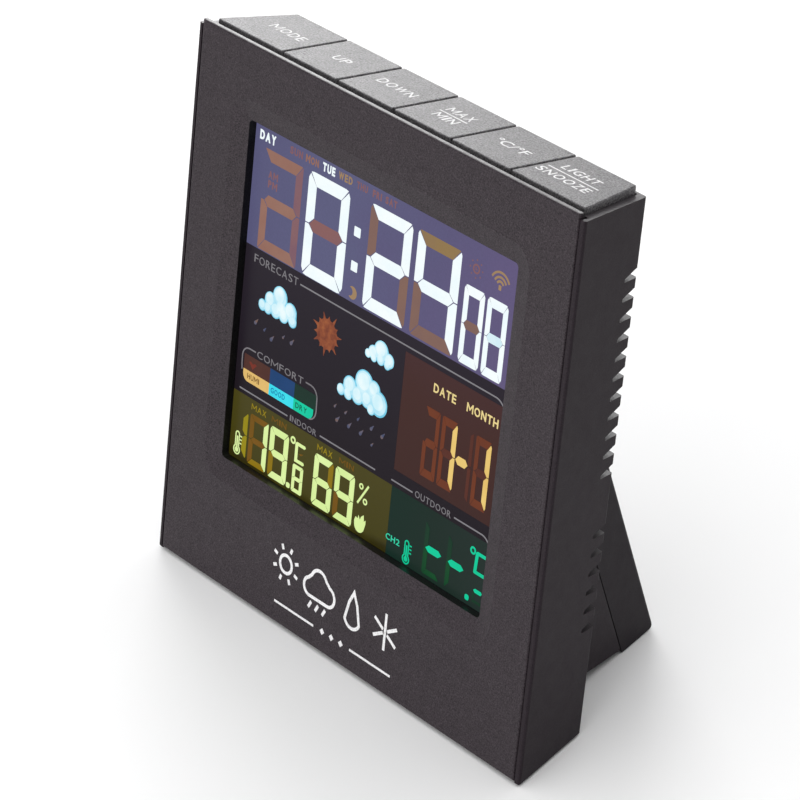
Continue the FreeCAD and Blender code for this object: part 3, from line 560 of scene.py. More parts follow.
def letters(s, x0, x1, lo, hi, bold):
    """A word set letter by letter, with an M of its own whose notch stays open."""
    gap = 0.24
    k = (x1 - x0) / (sum(WIDE[c] for c in s) + gap * (len(s) - 1))
    bm = bmesh.new()
    x = x0
    for c in s:
        w = WIDE[c] * k
        if c == "M":
            h = hi - lo
            t = min(0.23 * w, (0.12 + 2.2 * bold) * h)
            d, mid, low = t * 1.75, x + w / 2, lo + 0.20 * h
            pts = [(x, lo), (x + t, lo), (x + t, hi - d), (mid, low), (x + w - t, hi - d), (x + w - t, lo), (x + w, lo),
                   (x + w, hi), (x + w - t, hi), (mid, low + d), (x + t, hi), (x, hi)]
            g = bmesh.new()
            slab(g, pts, -0.5, 0.5)
            for v in g.verts:
                v.co = Vector((v.co.x, v.co.z, v.co.y))
            join(bm, g)
        else:
            join(bm, text_mesh(c, x, x + w, lo, hi, bold))
        x += w + gap * k
    return bm


def panel_text(bm, s, x0, x1, z0, z1, y_front, y_back, bold=0.02, spacing=1.0):
    t = letters(s, x0, x1, z0, z1, bold)
    for v in t.verts:
        x, zz, d = v.co.x, v.co.y, v.co.z
        v.co = Vector((x, y_front if d > 0 else y_back, zz))
    join(bm, t)


# -------------------------------------------------------- the colour display
GY = 3.6                     # front of the glass
Z0, Z1 = GY - 0.07, GY + 0.01          # colour film
G0, G1 = GY - 0.12, GY - 0.05          # dim marks
L0, L1 = GY - 0.14, GY - 0.06          # lit marks
XL, XR, ZB, ZT = -49.3, 49.3, 32.7, 120.1


def film(name, pts, mat):
    bm = bmesh.new()
    slab(bm, pts, Z0, Z1)
    return add(name, bm, mat, "case")


TIME = sweep("film_time", 0, -49, 49, [(0.0, (92, 91, 125)), (0.35, (96, 96, 129)), (0.65, (95, 90, 125)), (1.0, (101, 91, 128))])
film("display_film_time", [(XL, 88.55), (XR, 88.55), (XR, ZT), (XL, ZT)], TIME)
DARK = sweep("film_dark", 2, 50, 89, [(0.0, (38, 33, 37)), (0.5, (42, 37, 43)), (1.0, (46, 41, 48))])
film("display_film_dark", [(XL, 50.3), (XR, 50.3), (XR, 54.45), (12.35, 54.45), (12.35, 84.35), (XR, 84.35), (XR, 88.5), (XL, 88.5)], DARK)
BROWN = sweep("film_date", 2, 54, 85, [(0.0, (67, 45, 41)), (0.6, (71, 47, 43)), (1.0, (73, 49, 48))])
film("display_film_date", [(12.4, 54.5), (XR, 54.5), (XR, 84.3), (12.4, 84.3)], BROWN)
OLIVE = sweep("film_indoor", 2, 33, 50, [(0.0, (52, 48, 20)), (0.12, (70, 66, 26)), (1.0, (75, 70, 31))])
film("display_film_indoor", [(XL, ZB), (12.3, ZB), (12.3, 50.25), (XL, 50.25)], OLIVE)
GREEN = sweep("film_outdoor", 0, 12, 49, [(0.0, (29, 49, 41)), (0.5, (34, 49, 42)), (1.0, (41, 52, 48))])
film("display_film_outdoor", [(12.35, ZB), (XR, ZB), (XR, 50.25), (12.35, 50.25)], GREEN)


def seven(x0, x1, z0, z1, tv, th, r=0.0, gap=0.16, lean=0.0):
    """Outlines of the seven segments of one digit."""
    zm = (z0 + z1) / 2
    g = gap
    c = min(tv, th) * 0.5
    ri = max(r, 0.25)
    seg = {}
    seg["a"] = [(x0 + ri * 0.35 + g, z1 - ri * 0.12), (x0 + ri, z1), (x1 - ri, z1), (x1 - ri * 0.35 - g, z1 - ri * 0.12),
                (x1 - tv - g * 0.4, z1 - th), (x0 + tv + g * 0.4, z1 - th)]
    seg["d"] = [(x, z0 + z1 - z) for x, z in seg["a"]][::-1]
    seg["f"] = [(x0, zm + g), (x0, z1 - ri), (x0 + ri * 0.35, z1 - ri * 0.38), (x0 + tv, z1 - th - g * 0.8),
                (x0 + tv, zm + th * 0.5 + g), (x0 + tv * 0.42, zm + g)]
    seg["e"] = [(x, z0 + z1 - z) for x, z in seg["f"]][::-1]
    seg["b"] = [(x0 + x1 - x, z) for x, z in seg["f"]][::-1]
    seg["c"] = [(x0 + x1 - x, z) for x, z in seg["e"]][::-1]
    h = th * 0.5
    seg["g"] = [(x0 + tv * 0.45 + g, zm), (x0 + tv + g * 0.6, zm + h), (x1 - tv - g * 0.6, zm + h), (x1 - tv * 0.45 - g, zm),
                (x1 - tv - g * 0.6, zm - h), (x0 + tv + g * 0.6, zm - h)]
    if lean:
        for k in seg:
            seg[k] = [(x + (z - zm) * lean, z) for x, z in seg[k]]
    return seg


WHITE = glow("lit_white", (246, 253, 254), mottle=0.05, size=5.0, second=(238, 250, 253), strength=1.03)
PALE = glow("lit_pale_blue", (228, 246, 251), mottle=0.05, size=4.0, second=(212, 239, 248))
G_ORANGE = glow("dim_orange", (152, 114, 100), second=(147, 107, 94))
G_RED = glow("dim_red", (127, 93, 104), second=(136, 100, 103))
G_ROSE = glow("dim_rose", (138, 97, 95), second=(134, 96, 99))
G_OLIVE = glow("dim_olive", (146, 120, 80), second=(141, 115, 86))
G_BROWN = glow("dim_brown", (133, 103, 91), second=(127, 99, 92))
G_DAY = glow("dim_day", (134, 96, 100), second=(128, 92, 100))
G_MON = glow("dim_mon", (152, 110, 92), second=(146, 106, 94))
G_WED = glow("dim_wed", (164, 134, 98), second=(156, 128, 98))
GREY = glow("print_grey", (136, 134, 138), mottle=0.10, size=3.0)
GREY_LO = glow("print_grey_low", (128, 125, 129), mottle=0.12, size=3.0)


def marks(name, polys, mat, lit=False):
    bm = bmesh.new()
    a, b = (L0, L1) if lit else (G0, G1)
    for p in polys:
        slab(bm, p, a, b)
    return add(name, bm, mat, "case")


def words(name, items, mat, lit=False, bold=0.02, spacing=1.0):
    bm = bmesh.new()
    a, b = (L0, L1) if lit else (G0, G1)
    for s, x0, x1, z0, z1 in items:
        panel_text(bm, s, x0, x1, z0, z1, a, b, bold, spacing)
    return add(name, bm, mat, "case")


# time row
d1 = seven(-45.15, -30.25, 88.8, 114.25, 2.55, 2.9, 0.5)
d2 = seven(-27.95, -12.45, 88.75, 114.7, 3.05, 3.25, 1.7)
d3 = seven(-4.65, 10.75, 89.1, 114.9, 2.95, 3.2, 1.2)
d4 = seven(12.75, 28.3, 89.1, 114.9, 2.95, 3.1, 1.0)
s1 = seven(30.35, 37.45, 89.15, 108.1, 1.6, 2.25, 1.0, gap=0.09)
s2 = seven(38.45, 45.6, 89.15, 108.1, 1.6, 2.25, 1.0, gap=0.09)
marks("lit_time_digits", [d2[k] for k in "abcdef"] + [d3[k] for k in "abged"] + [d4[k] for k in "fbgc"]
      + [s1[k] for k in "abcdef"] + [s2[k] for k in "abcdef"]
      + [rbox(-9.9, -7.6, 104.8, 107.2, 0.2), rbox(-9.9, -7.6, 96.2, 98.65, 0.2)], WHITE, True)
marks("lit_time_pale", [s2["g"]], PALE, True)
marks("dim_time_orange", [d1[k] for k in "aged"], G_ORANGE)
marks("dim_time_red", [d1[k] for k in "bc"], G_RED)
marks("dim_time_rose", [d2["g"]], G_ROSE)
marks("dim_time_brown", [d3["f"], d3["c"], d4["e"], d4["d"], s1["g"]], G_BROWN)
marks("dim_time_olive", [d4["a"]], G_OLIVE)
moon = circle(-8.5, 90.9, 1.6, 28)
moon = arc(-8.5, 90.9, 1.6, -140, 130, 20) + arc(-9.5, 91.0, 1.1, 95, -95, 10)
marks("dim_moon", [moon], G_WED)
sun_dots = [circle(33.5 + 2.15 * math.cos(a), 112.7 + 2.15 * math.sin(a), 0.22, 8) for a in [math.radians(45 * i) for i in range(8)]]
bm = bmesh.new()
for p in sun_dots:
    slab(bm, p, G0, G1)
stroke(bm, circle(33.5, 112.7, 1.0, 20), 0.45, G0, G1, True)
stroke(bm, [(33.3, 113.1), (33.3, 112.6), (33.8, 112.5)], 0.25, G0, G1)
add("dim_lamp_icon", bm, G_DAY, "case")
bm = bmesh.new()
for r in (3.35, 2.2, 1.2):
    stroke(bm, arc(41.9, 111.6, r, 28, 152, 12), 0.55, G0, G1)
slab(bm, rbox(41.45, 42.35, 110.7, 111.9, 0.15), G0, G1)
add("dim_radio_icon", bm, G_WED, "case")
words("lit_day", [("DAY", -47.5, -41.4, 115.7, 118.1), ("TUE", -23.3, -18.7, 116.1, 118.25)], WHITE, True, 0.045)
words("dim_days", [("SUN", -35.8, -31.0, 116.05, 117.95), ("THU", -10.5, -6.5, 116.3, 118.1), ("FRI", -4.6, -1.3, 116.3, 118.1),
                   ("SAT", 0.1, 4.3, 116.4, 118.2), ("AM", -43.1, -39.5, 107.3, 109.2), ("PM", -43.0, -39.5, 104.9, 106.8)], G_DAY, False, 0.04)
words("dim_monday", [("MON", -29.8, -24.9, 116.1, 118.0)], G_MON, False, 0.04)
words("dim_wednesday", [("WED", -17.3, -12.2, 116.25, 118.15)], G_WED, False, 0.04)

# headings and rules
words("print_headings", [("FORECAST", -45.7, -28.6, 84.95, 86.95), ("COMFORT", -41.5, -23.4, 61.5, 63.3)], GREY_LO, False, 0.0, 1.1)
words("print_rooms", [("INDOOR", -27.1, -16.8, 50.75, 52.25), ("OUTDOOR", 20.7, 33.8, 50.9, 52.55)], GREY_LO, False, 0.0, 1.05)
bm = bmesh.new()
stroke(bm, [(-27.7, 85.75), (44.6, 85.75)] + arc(44.6, 82.0, 3.75, 85, 38, 6), 0.36, G0, G1)
stroke(bm, [(-47.2, 51.5), (-28.1, 51.5)], 0.36, G0, G1)
stroke(bm, [(-15.4, 51.5), (5.8, 51.5)], 0.36, G0, G1)
stroke(bm, [(11.9, 51.6), (19.8, 51.6)], 0.36, G0, G1)
stroke(bm, [(35.0, 51.65), (44.9, 51.65)] + arc(44.9, 48.4, 3.25, 85, 40, 5), 0.36, G0, G1)
add("print_rules", bm, GREY, "case")

# comfort box
bm = bmesh.new()
stroke(bm, [(-42.1, 62.55), (-44.6, 62.55)] + arc(-44.6, 60.0, 2.55, 95, 175, 6)[1:] + [(-47.1, 58.0), (-46.9, 56.4)], 0.36, G0, G1)
stroke(bm, [(-22.4, 62.6), (-20.4, 62.6)] + arc(-20.4, 59.9, 2.7, 85, 5, 6)[1:] + [(-17.6, 57.0)] + arc(-20.3, 56.7, 2.65, -5, -85, 6), 0.36, G0, G1)
add("print_comfort_outline", bm, GREY_LO, "case")
marks("dim_cell_humid", [[(-46.3, 56.95), (-36.05, 56.95), (-36.05, 60.85), (-46.3, 60.85)]], glow("dim_humid", (79, 50, 44), second=(84, 54, 46)))
marks("dim_cell_good", [[(-36.0, 56.95), (-26.35, 56.95), (-26.35, 60.85), (-36.0, 60.85)]], glow("dim_good", (37, 70, 117), second=(34, 66, 110)))
marks("dim_cell_dry", [[(-26.3, 56.95), (-17.8, 56.95), (-17.9, 60.85), (-26.3, 60.85)]], glow("dim_dry", (33, 54, 45), second=(30, 58, 47)))
marks("lit_cell_humid", [rbox(-46.3, -36.05, 54.0, 56.9, 1.9, 6, (1, 0, 0, 0))], glow("lit_humid", (230, 192, 116), second=(221, 182, 108)), False)
marks("lit_cell_good", [[(-36.0, 54.0), (-26.35, 54.0), (-26.35, 56.9), (-36.0, 56.9)]], glow("lit_good", (66, 226, 240), second=(54, 214, 236)), False)
marks("lit_cell_dry", [rbox(-26.3, -18.7, 54.0, 56.9, 1.9, 6, (0, 1, 0, 0))], glow("lit_dry", (18, 207, 164), second=(12, 198, 158)), False)
marks("dim_heart", [[(-44.3, 59.3), (-43.6, 59.5), (-42.8, 59.1), (-42.0, 59.5), (-41.3, 59.3), (-42.8, 57.7)]], glow("dim_heart_red", (125, 56, 44)), True)
words("text_humid", [("HUMI", -44.6, -39.9, 54.85, 56.25)], glow("text_on_humid", (120, 88, 44)), True, 0.02)
words("text_good", [("GOOD", -35.2, -29.7, 54.85, 56.25)], glow("text_on_good", (24, 128, 176)), True, 0.02)
words("text_dry", [("DRY", -25.5, -21.0, 54.85, 56.25)], glow("text_on_dry", (10, 104, 82)), True, 0.02)


# forecast pictures: clouds are fused, crowned lobes, lit from inside
def cloud_mat(name, lo, mid, hi, z0, z1):
    m = Mat(name)
    v = m.voronoi(3.3, "SMOOTH_F1")
    n = m.noise(1.6, 3.0, 0.55)
    t = m.span(m.case_axis(2), z0, z1, 0.0, 1.0)
    f = m.math("ADD", m.math("MULTIPLY", t, 0.35), m.math("ADD", m.span(v, 0.10, 0.62, 0.62, 0.0), m.span(n, 0.3, 0.7, -0.12, 0.14)))
    col = m.ramp(f, [(0.12, lin(*lo)), (0.45, lin(*mid)), (0.80, lin(*hi))])
    m.link(col, m.b.inputs["Emission Color"])
    m.color(m.mix(n, (0.002, 0.002, 0.003), (0.004, 0.004, 0.005)))
    m.roughness(m.span(n, 0.3, 0.7, 0.32, 0.42))
    m.set(emit=1.0, ior=1.12)
    return m.m


def blob(name, lobes, mat, cut=None, n=120):
    """Union of circles as one outline, traced column by column along its top and bottom edges."""
    xs = [l[0] for l in lobes]
    step = 0.12
    x0, x1 = min(l[0] - l[2] for l in lobes) - 0.3, max(l[0] + l[2] for l in lobes) + 0.3
    cols = int((x1 - x0) / step)
    top, bot = [], []
    for i in range(cols + 1):
        x = x0 + (x1 - x0) * i / cols
        hi, lo = None, None
        for cx, cz, r in lobes:
            d = r * r - (x - cx) ** 2
            if d > 0:
                h = math.sqrt(d)
                hi = cz + h if hi is None else max(hi, cz + h)
                lo = cz - h if lo is None else min(lo, cz - h)
        if hi is not None and hi - lo > 0.05:
            top.append((x, hi))
            bot.append((x, lo))
    bm = bmesh.new()
    slab(bm, bot + top[::-1], L0, L1)
    return add(name, bm, mat, "case")


CLOUD = cloud_mat("cloud_rim", (108, 196, 226), (138, 215, 240), (166, 230, 247), 60, 90)
PUFF = cloud_mat("cloud_puff", (176, 228, 245), (204, 240, 250), (222, 247, 252), 60, 90)
HEART = cloud_mat("cloud_heart", (206, 241, 250), (224, 247, 252), (236, 251, 253), 60, 90)


def cloud(name, lobes):
    """Fused balls in three tones: rim, body and bright heart of each lobe."""
    blob(name, lobes, CLOUD)
    for k, (tag, mat, f, dx, dz) in enumerate((("puffs", PUFF, 0.88, -0.02, 0.03), ("hearts", HEART, 0.62, -0.10, 0.12))):
        bm = bmesh.new()
        for i, (x, z, r) in enumerate(lobes):
            d = 0.008 * (k + 1) + 0.0006 * i
            slab(bm, circle(x + dx * r, z + dz * r, r * f, 20), L0 - d, L1)
        add(name + "_" + tag, bm, mat, "case")


cloud("cloud_left", [(-34.7, 79.7, 2.75), (-38.2, 77.6, 2.2), (-41.2, 75.4, 1.5), (-39.0, 75.4, 1.6), (-36.0, 75.9, 2.1), (-32.9, 75.7, 1.9),
                     (-30.4, 77.4, 2.4), (-29.4, 75.5, 1.6), (-34.2, 77.3, 2.0)])
cloud("cloud_right", [(3.9, 80.9, 2.6), (1.1, 79.6, 1.8), (-0.8, 78.7, 1.1), (1.4, 78.4, 1.1), (3.9, 78.9, 1.5), (6.9, 79.6, 1.85), (6.4, 78.4, 1.2)])
cloud("cloud_middle", [(-1.0, 70.8, 3.4), (-6.1, 68.2, 2.5), (-9.3, 66.1, 1.45), (-6.6, 66.1, 1.6), (-3.1, 67.0, 2.3), (2.6, 70.6, 2.3),
                       (0.4, 67.3, 2.2), (4.7, 67.8, 3.2), (2.2, 65.6, 1.5)])

SUNC = Mat("dim_sun")
v = SUNC.noise(2.0, 3.0, 0.6)
SUNC.link(SUNC.ramp(v, [(0.3, lin(112, 56, 40)), (0.5, lin(138, 74, 46)), (0.72, lin(160, 92, 54))]), SUNC.b.inputs["Emission Color"])
SUNC.color(SUNC.mix(v, (0.002, 0.002, 0.003), (0.004, 0.004, 0.005)))
SUNC.set(emit=1.0, ior=1.12, rough=0.36)
pts = []
rays = 14
lens_ = [5.6, 4.6, 5.9, 4.7, 5.4, 4.5, 5.7, 4.9, 5.6, 4.6, 5.8, 4.4, 5.5, 4.8]
for i in range(rays):
    a = 2 * math.pi * (i + 0.3) / rays
    da = math.pi / rays
    for f, rr in ((-0.62, 3.75), (-0.12, lens_[i] * 0.93), (0.0, lens_[i]), (0.45, 3.9)):
        pts.append((-16.3 + rr * math.cos(a + f * da), 77.4 + rr * math.sin(a + f * da)))
marks("dim_sun_icon", [pts], SUNC.m)


def drop(x, z, s):
    """Slanting raindrop: round below left, pointed above right."""
    d = Vector((0.62, 0.78)).normalized()
    nrm = Vector((-d[1], d[0]))
    out = []
    for i in range(9):
        a = math.radians(180 + 180 * i / 8)
        p = Vector((x, z)) + nrm * (0.42 * s * math.cos(a) * -1) + d * (0.42 * s * math.sin(a))
        out.append(tuple(p))
    out.append(tuple(Vector((x, z)) + d * (1.5 * s)))
    return out


def drop_mat():
    m = Mat("dim_drops")
    n = m.noise(1.1, 2.0, 0.5)
    col = m.ramp(n, [(0.36, lin(118, 92, 78)), (0.5, lin(96, 92, 108)), (0.66, lin(70, 78, 106))])
    m.link(col, m.b.inputs["Emission Color"])
    m.color(m.mix(n, (0.002, 0.002, 0.003), (0.004, 0.004, 0.005)))
    m.set(emit=1.0, ior=1.12, rough=0.36)
    return m.m


marks("dim_rain", [drop(*t) for t in [(-43.3, 69.9, 1.15), (-39.7, 69.3, 0.75), (-36.8, 68.0, 1.15), (-32.4, 70.2, 0.75), (-29.2, 70.0, 1.15),
                                      (-11.0, 61.0, 0.75), (-6.9, 60.9, 0.75), (-2.2, 61.1, 0.75), (-9.8, 57.9, 1.15), (-5.3, 58.1, 1.15), (-0.8, 58.1, 1.15),
                                      (2.9, 60.8, 1.05), (7.0, 60.4, 1.15), (3.6, 56.9, 0.75)]], drop_mat())

# date
CREAM = glow("lit_cream", (238, 204, 122), second=(229, 193, 110))
G_DATE = glow("dim_date", (114, 61, 39), second=(107, 58, 40))
G_DATE2 = glow("dim_date_low", (92, 52, 42), second=(86, 50, 42))
e1 = seven(21.5, 26.75, 57.0, 74.4, 1.25, 2.0, 0.4, 0.1)
e2 = seven(27.6, 33.0, 57.0, 74.4, 1.3, 2.0, 0.4, 0.1)
e3 = seven(39.7, 45.1, 57.0, 74.4, 1.3, 2.0, 0.4, 0.1)
lit2 = seven(27.6, 33.0, 57.3, 74.1, 1.55, 2.0, 0.8, 0.12)
lit3 = seven(39.7, 45.1, 57.3, 74.1, 1.55, 2.0, 0.8, 0.12)
marks("lit_date", [lit2["b"], lit2["c"], lit3["b"], lit3["c"],
                   [(33.3, 65.75), (34.2, 66.85), (36.7, 66.85), (37.6, 65.75), (36.7, 64.7), (34.2, 64.7)]], CREAM, True)
marks("dim_date_digits", [e1[k] for k in "abgecd"] + [e2[k] for k in "afed"] + [e3[k] for k in "afed"], G_DATE)
marks("dim_date_digits_low", [e2["g"], e3["g"], [(37.7, 58.0), (38.7, 57.2), (38.8, 65.2), (38.2, 65.6), (37.7, 65.2)],
                              [(37.7, 66.2), (38.2, 65.8), (38.8, 66.2), (38.7, 74.2), (37.7, 73.4)]], G_DATE2)
words("lit_date_words", [("DATE", 23.4, 31.4, 78.6, 80.8), ("MONTH", 35.3, 46.4, 78.6, 80.8)], glow("lit_cream_word", (240, 218, 150)), True, 0.02)

# indoor
LIME = glow("lit_lime", (225, 246, 168), second=(214, 240, 156))
LIME2 = glow("lit_lime_soft", (184, 216, 142), second=(166, 200, 128))
G_BRN = glow("dim_indoor_brown", (122, 86, 26), second=(114, 82, 26))
G_GLD = glow("dim_indoor_gold", (142, 118, 24), second=(136, 110, 22))
G_YEL = glow("dim_indoor_yellow", (152, 139, 26), second=(146, 132, 24))
a1 = seven(-42.0, -34.8, 33.55, 46.6, 1.65, 1.5, 0.5, 0.12)
a2 = seven(-33.9, -26.65, 33.5, 46.75, 1.75, 1.75, 0.9, 0.12)
a3 = seven(-24.35, -20.3, 33.5, 40.65, 1.05, 0.98, 0.45, 0.06)
b1 = seven(-16.45, -9.2, 33.5, 46.75, 1.75, 1.75, 0.9, 0.12)
b2 = seven(-8.3, -1.0, 33.5, 46.75, 1.75, 1.75, 0.9, 0.12)
one = seven(-50.0, -42.85, 34.0, 46.1, 1.75, 1.7, 0.6, 0.12)
lit_in = [a1["b"], a1["c"]] + [a2[k] for k in "abcdfg"] + [a3[k] for k in "abcdefg"] + [b1[k] for k in "acdefg"] + [b2[k] for k in "abcdfg"]
lit_in += [[(-24.0, 41.3), (-20.6, 41.3), (-20.3, 41.7), (-20.6, 42.15), (-23.0, 42.15), (-23.05, 45.7), (-20.5, 45.7), (-20.1, 46.15), (-20.4, 46.55), (-23.6, 46.55), (-24.05, 46.1)]]
lit_in += [rbox(-26.3, -24.9, 33.6, 34.95, 0.45, 4)]
o = marks("lit_indoor", lit_in, LIME, True)
bm = bmesh.new()
stroke(bm, circle(-25.1, 46.4, 0.72, 18), 0.5, L0, L1, True)
stroke(bm, circle(1.5, 45.4, 0.6, 14), 0.38, L0, L1, True)
stroke(bm, circle(3.35, 42.1, 0.62, 14), 0.38, L0, L1, True)
stroke(bm, [(0.6, 40.8), (4.15, 46.4)], 0.55, L0, L1)
add("lit_indoor_signs", bm, LIME, "case")
flame = arc(2.05, 35.5, 1.85, 190, 350, 10) + [(4.25, 36.6), (4.2, 37.6), (3.6, 37.0), (3.35, 38.6), (2.5, 37.9), (2.1, 36.9), (1.5, 37.9), (1.25, 36.9), (0.5, 37.2), (0.1, 36.2)]
marks("lit_drop_icon", [flame], LIME, True)


def thermometer(name, x, z, h, mat):
    """Outlined tube with bulb, inner column and three scale strokes."""
    bm = bmesh.new()
    out = arc(x, z, 1.15, 125, 415, 14) + arc(x, z + h, 0.68, 0, 180, 8)
    stroke(bm, out, 0.34, L0, L1, True)
    slab(bm, circle(x, z, 0.66, 16), L0 - 0.004, L1)
    slab(bm, rbox(x - 0.24, x + 0.24, z + 0.4, z + h - 0.5, 0.1, 2), L0 - 0.008, L1)
    for i in range(3):
        zz = z + h * 0.45 + i * 0.95
        slab(bm, [(x + 1.0, zz), (x + 1.75, zz), (x + 1.75, zz + 0.3), (x + 1.0, zz + 0.3)], L0, L1)
    add(name, bm, mat, "case")


thermometer("lit_thermometer_in", -46.35, 35.2, 4.1, LIME)
marks("dim_indoor_brown_marks", [a1[k] for k in "afge"] + [b2["e"], [(-22.6, 43.7), (-21.7, 44.0), (-20.8, 44.2), (-21.7, 43.55)]], G_BRN)
marks("dim_indoor_gold_marks", [a1["d"], a2["e"], b1["b"]], G_GLD)
marks("dim_indoor_yellow_marks", [one["b"], one["c"]], G_YEL)
words("dim_max", [("MAX", -41.9, -36.1, 47.7, 49.25), ("MAX", -15.9, -10.1, 47.7, 49.25)], glow("dim_max_yellow", (150, 130, 30)), False, 0.008)
words("dim_min", [("MIN", -33.8, -28.1, 47.75, 49.25), ("MIN", -7.4, -1.9, 47.75, 49.25)], glow("dim_min_orange", (116, 84, 28)), False, 0.008)

# outdoor
AQUA = glow("lit_aqua", (22, 206, 158), second=(12, 198, 148))
AQUA2 = glow("lit_aqua_soft", (66, 214, 172), second=(30, 190, 148))
G_GRN = glow("dim_outdoor", (27, 78, 44), second=(26, 70, 42))
marks("lit_outdoor", [[(26.25, 40.35), (27.4, 41.2), (30.9, 41.2), (32.0, 40.35), (30.9, 39.5), (27.4, 39.5)],
                      [(34.5, 40.35), (35.6, 41.2), (39.0, 41.2), (40.1, 40.35), (39.0, 39.5), (35.6, 39.5)],
                      [(44.2, 37.3), (44.7, 37.75), (46.8, 37.75), (47.2, 37.3), (46.8, 36.8), (44.7, 36.8)],
                      [(43.5, 41.6), (43.8, 41.35), (47.6, 41.35), (48.0, 41.8), (47.6, 42.2), (44.5, 42.2), (44.75, 46.15), (47.7, 46.15), (48.1, 46.55), (47.7, 47.0), (44.3, 47.0), (43.8, 46.6)],
                      rbox(41.5, 42.9, 33.8, 35.2, 0.5, 4)], AQUA, True)
bm = bmesh.new()
stroke(bm, circle(42.7, 46.65, 0.75, 18), 0.48, L0, L1, True)
add("lit_outdoor_degree", bm, AQUA, "case")
words("lit_channel", [("CH2", 11.95, 17.1, 36.45, 38.0)], AQUA2, True, 0.012)
thermometer("lit_thermometer_out", 19.75, 34.4, 4.0, AQUA)
f1 = seven(25.7, 32.0, 33.7, 46.8, 1.4, 1.35, 0.4, 0.12)
f2 = seven(34.0, 40.3, 33.7, 46.8, 1.4, 1.35, 0.4, 0.12)
marks("dim_outdoor_marks", [f1["e"], f1["d"], f2["e"]], G_GRN)
marks("dim_outdoor_low", [f1["f"], f2["f"], [(44.0, 34.2), (47.2, 34.2), (47.0, 34.9), (44.2, 34.9)], [(43.9, 35.1), (44.7, 35.2), (44.7, 36.6), (43.9, 36.6)]],
      glow("dim_outdoor_faint", (31, 62, 44)))

# ---------------------------------------------------------------- printed marks
PRINT = ink("print_white", (226, 225, 226))
TOP = 139.5


def key_label(name, button, items, bars=()):
    bm = bmesh.new()
    for s, x0, x1, y0, y1 in items:
        t = letters(s, x0, x1, y0, y1, 0.010) if s.isalpha() else text_mesh(s, x0, x1, y0, y1, 0.010)
        for v in t.verts:
            v.co = Vector((v.co.x, v.co.y, TOP + 0.035 if v.co.z > 0 else TOP - 0.02))
        join(bm, t)
    for x0, x1, y0, y1 in bars:
        tb = bmesh.new()
        slab(tb, [(x0, y0), (x1, y0), (x1, y1), (x0, y1)], 0, 1)
        for v in tb.verts:
            v.co = Vector((v.co.x, v.co.z, TOP + 0.035 if v.co.y > 0.5 else TOP - 0.02))
        join(bm, tb)
    return add(name, bm, PRINT, button)


key_label("label_mode", "button_mode", [("MODE", -57.3, -45.3, 10.9, 13.9)])
key_label("label_up", "button_up", [("UP", -33.6, -28.2, 11.1, 14.1)])
key_label("label_down", "button_down", [("DOWN", -16.7, -4.0, 11.1, 14.1)])
key_label("label_max_min", "button_max_min", [("MAX", 5.6, 14.4, 13.7, 16.6), ("MIN", 6.5, 13.9, 8.8, 11.7)], [(5.2, 14.9, 12.4, 12.8)])
key_label("label_unit", "button_unit", [("°C/°F", 25.3, 36.2, 11.2, 14.3)])
key_label("label_light_snooze", "button_light_snooze", [("LIGHT", 45.3, 57.1, 14.2, 16.9), ("SNOOZE", 42.9, 59.9, 8.7, 11.4)], [(43.1, 60.0, 12.5, 12.9)])

# generic weather pictograms on the lower bezel: sun, cloud with rain, leaf-like
# drop, snow star, with a short rule and three diamonds under them
F0, F1 = -0.035, 0.02
bm = bmesh.new()
w = 0.85
stroke(bm, circle(-19.3, 16.6, 2.3, 24), w, F0, F1, True)
for i in range(8):
    a = math.radians(45 * i + 22.5)
    stroke(bm, [(-19.3 + 3.7 * math.cos(a), 16.6 + 3.7 * math.sin(a)), (-19.3 + 5.1 * math.cos(a), 16.6 + 5.1 * math.sin(a))], w, F0, F1)
cl = arc(-9.6, 15.0, 2.3, 268, 110, 10) + arc(-6.3, 17.4, 3.0, 160, 30, 12) + arc(-2.6, 15.2, 2.5, 80, -88, 12)
stroke(bm, cl, w, F0, F1, True)
for x in (-8.6, -5.9, -3.2):
    stroke(bm, [(x, 11.4), (x - 1.0, 9.6)], w, F0, F1)
dr = arc(6.9, 14.2, 3.0, 205, 335, 14) + [(6.9 + 1.55, 17.6), (6.9, 20.6), (6.9 - 1.55, 17.6)]
stroke(bm, dr, w, F0, F1, True)
for i in range(3):
    a = math.radians(60 * i + 30)
    if i == 1:
        stroke(bm, [(19.2 + 4.8 * math.cos(a), 15.8 + 4.8 * math.sin(a)), (19.2 - 4.8 * math.cos(a), 15.8 - 4.8 * math.sin(a))], w, F0, F1)
    else:
        for sg in (1, -1):
            stroke(bm, [(19.2 + sg * 0.9 * math.cos(a), 15.8 + sg * 0.9 * math.sin(a)), (19.2 + sg * 4.8 * math.cos(a), 15.8 + sg * 4.8 * math.sin(a))], w, F0, F1)
stroke(bm, [(-22.5, 5.6), (-7.0, 5.6)], 0.6, F0, F1)
stroke(bm, [(7.0, 5.6), (22.5, 5.6)], 0.6, F0, F1)
for x in (-3.6, 0.0, 3.6):
    slab(bm, [(x - 0.9, 5.6), (x, 4.7), (x + 0.9, 5.6), (x, 6.5)], F0, F1)
add("print_pictograms", bm, PRINT, "case")

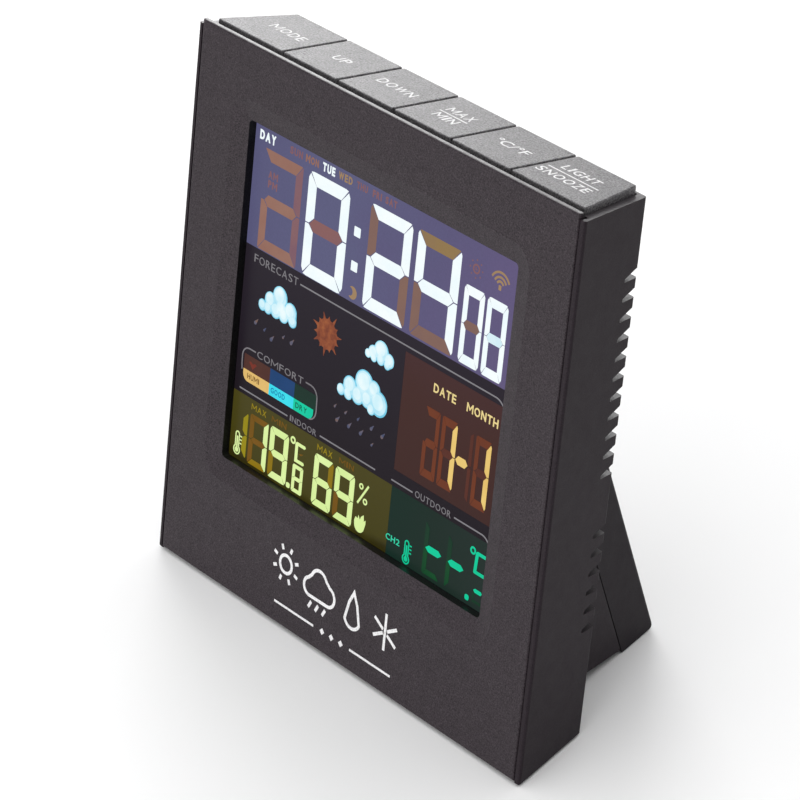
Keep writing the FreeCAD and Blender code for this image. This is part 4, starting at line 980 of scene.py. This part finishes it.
# --------------------------------------------------------------- camera, stage
CAM = Vector((696.529, -591.904, 470.265))
RIGHT, UP, FWD = Vector((0.62222737, 0.77731939, 0.09277746)), Vector((-0.36827241, 0.18607214, 0.91090756)), Vector((-0.69080281, 0.600959, -0.40204447))
cam_data = bpy.data.cameras.new("camera")
cam = bpy.data.objects.new("camera", cam_data)
scene.collection.objects.link(cam)
cols = [TURN @ RIGHT, TURN @ UP, -(TURN @ FWD)]
m = Matrix(((cols[0][0], cols[1][0], cols[2][0]), (cols[0][1], cols[1][1], cols[2][1]), (cols[0][2], cols[1][2], cols[2][2]))).to_4x4()
m.translation = TO_WORLD @ CAM
cam.matrix_world = m
cam_data.sensor_width = 36.0
cam_data.lens = 4297.25 / 800.0 * 36.0
cam_data.clip_start = 0.05
cam_data.clip_end = 20.0
scene.camera = cam

me = bpy.data.meshes.new("floor")
S = 3.0
me.from_pydata([(-S, -S, 0), (S, -S, 0), (S, S, 0), (-S, S, 0)], [], [(0, 1, 2, 3)])
floor = bpy.data.objects.new("floor", me)
scene.collection.objects.link(floor)
fm = Mat("floor_white")
n = fm.noise(60.0, 2.0, 0.5)
fm.color(fm.mix(n, (0.86, 0.86, 0.865), (0.88, 0.88, 0.88)))
fm.set(rough=0.6, spec=0.3)
me.materials.append(fm.m)

world = bpy.data.worlds.new("world")
scene.world = world
world.use_nodes = True
wt = world.node_tree
bg = wt.nodes["Background"]
wc = wt.nodes.new("ShaderNodeTexCoord")
wd = wt.nodes.new("ShaderNodeVectorMath")
wd.operation = "DOT_PRODUCT"
wd.inputs[1].default_value = (-0.93, 0.0, 0.36)
wt.links.new(wc.outputs["Generated"], wd.inputs[0])
wm = wt.nodes.new("ShaderNodeMapRange")
wm.inputs["From Min"].default_value = -0.9
wm.inputs["From Max"].default_value = 0.9
wm.inputs["To Min"].default_value = 0.30
wm.inputs["To Max"].default_value = 0.80
wt.links.new(wd.outputs["Value"], wm.inputs["Value"])
wt.links.new(wm.outputs[0], bg.inputs[1])
bg.inputs[0].default_value = (1.0, 1.0, 1.0, 1.0)


def area(name, at, to, size, power, size_y=None, color=(1, 1, 1)):
    d = bpy.data.lights.new(name, "AREA")
    d.shape = "RECTANGLE"
    d.size = size
    d.size_y = size_y or size
    d.energy = power
    d.color = color
    o = bpy.data.objects.new(name, d)
    scene.collection.objects.link(o)
    at, to = Vector(at), Vector(to)
    o.location = at
    o.rotation_euler = (to - at).to_track_quat("-Z", "Y").to_euler()
    o.visible_camera = False
    return o


CENTRE = Vector((0, 0, 0.07))
area("back_soft", (-1.28, 0.78, 0.60), CENTRE, 0.78, 10.2, 0.8)
area("top_soft", (0.05, 0.10, 1.6), CENTRE, 2.4, 17.0)
area("front_soft", (0.55, -1.30, 0.80), CENTRE, 0.8, 3.8)
area("low_front", (0.02, -1.05, 0.16), CENTRE, 0.5, 3.2, 0.22)

scene.view_settings.view_transform = "Standard"
scene.view_settings.look = "None"
scene.view_settings.exposure = 0.0
scene.view_settings.gamma = 1.0
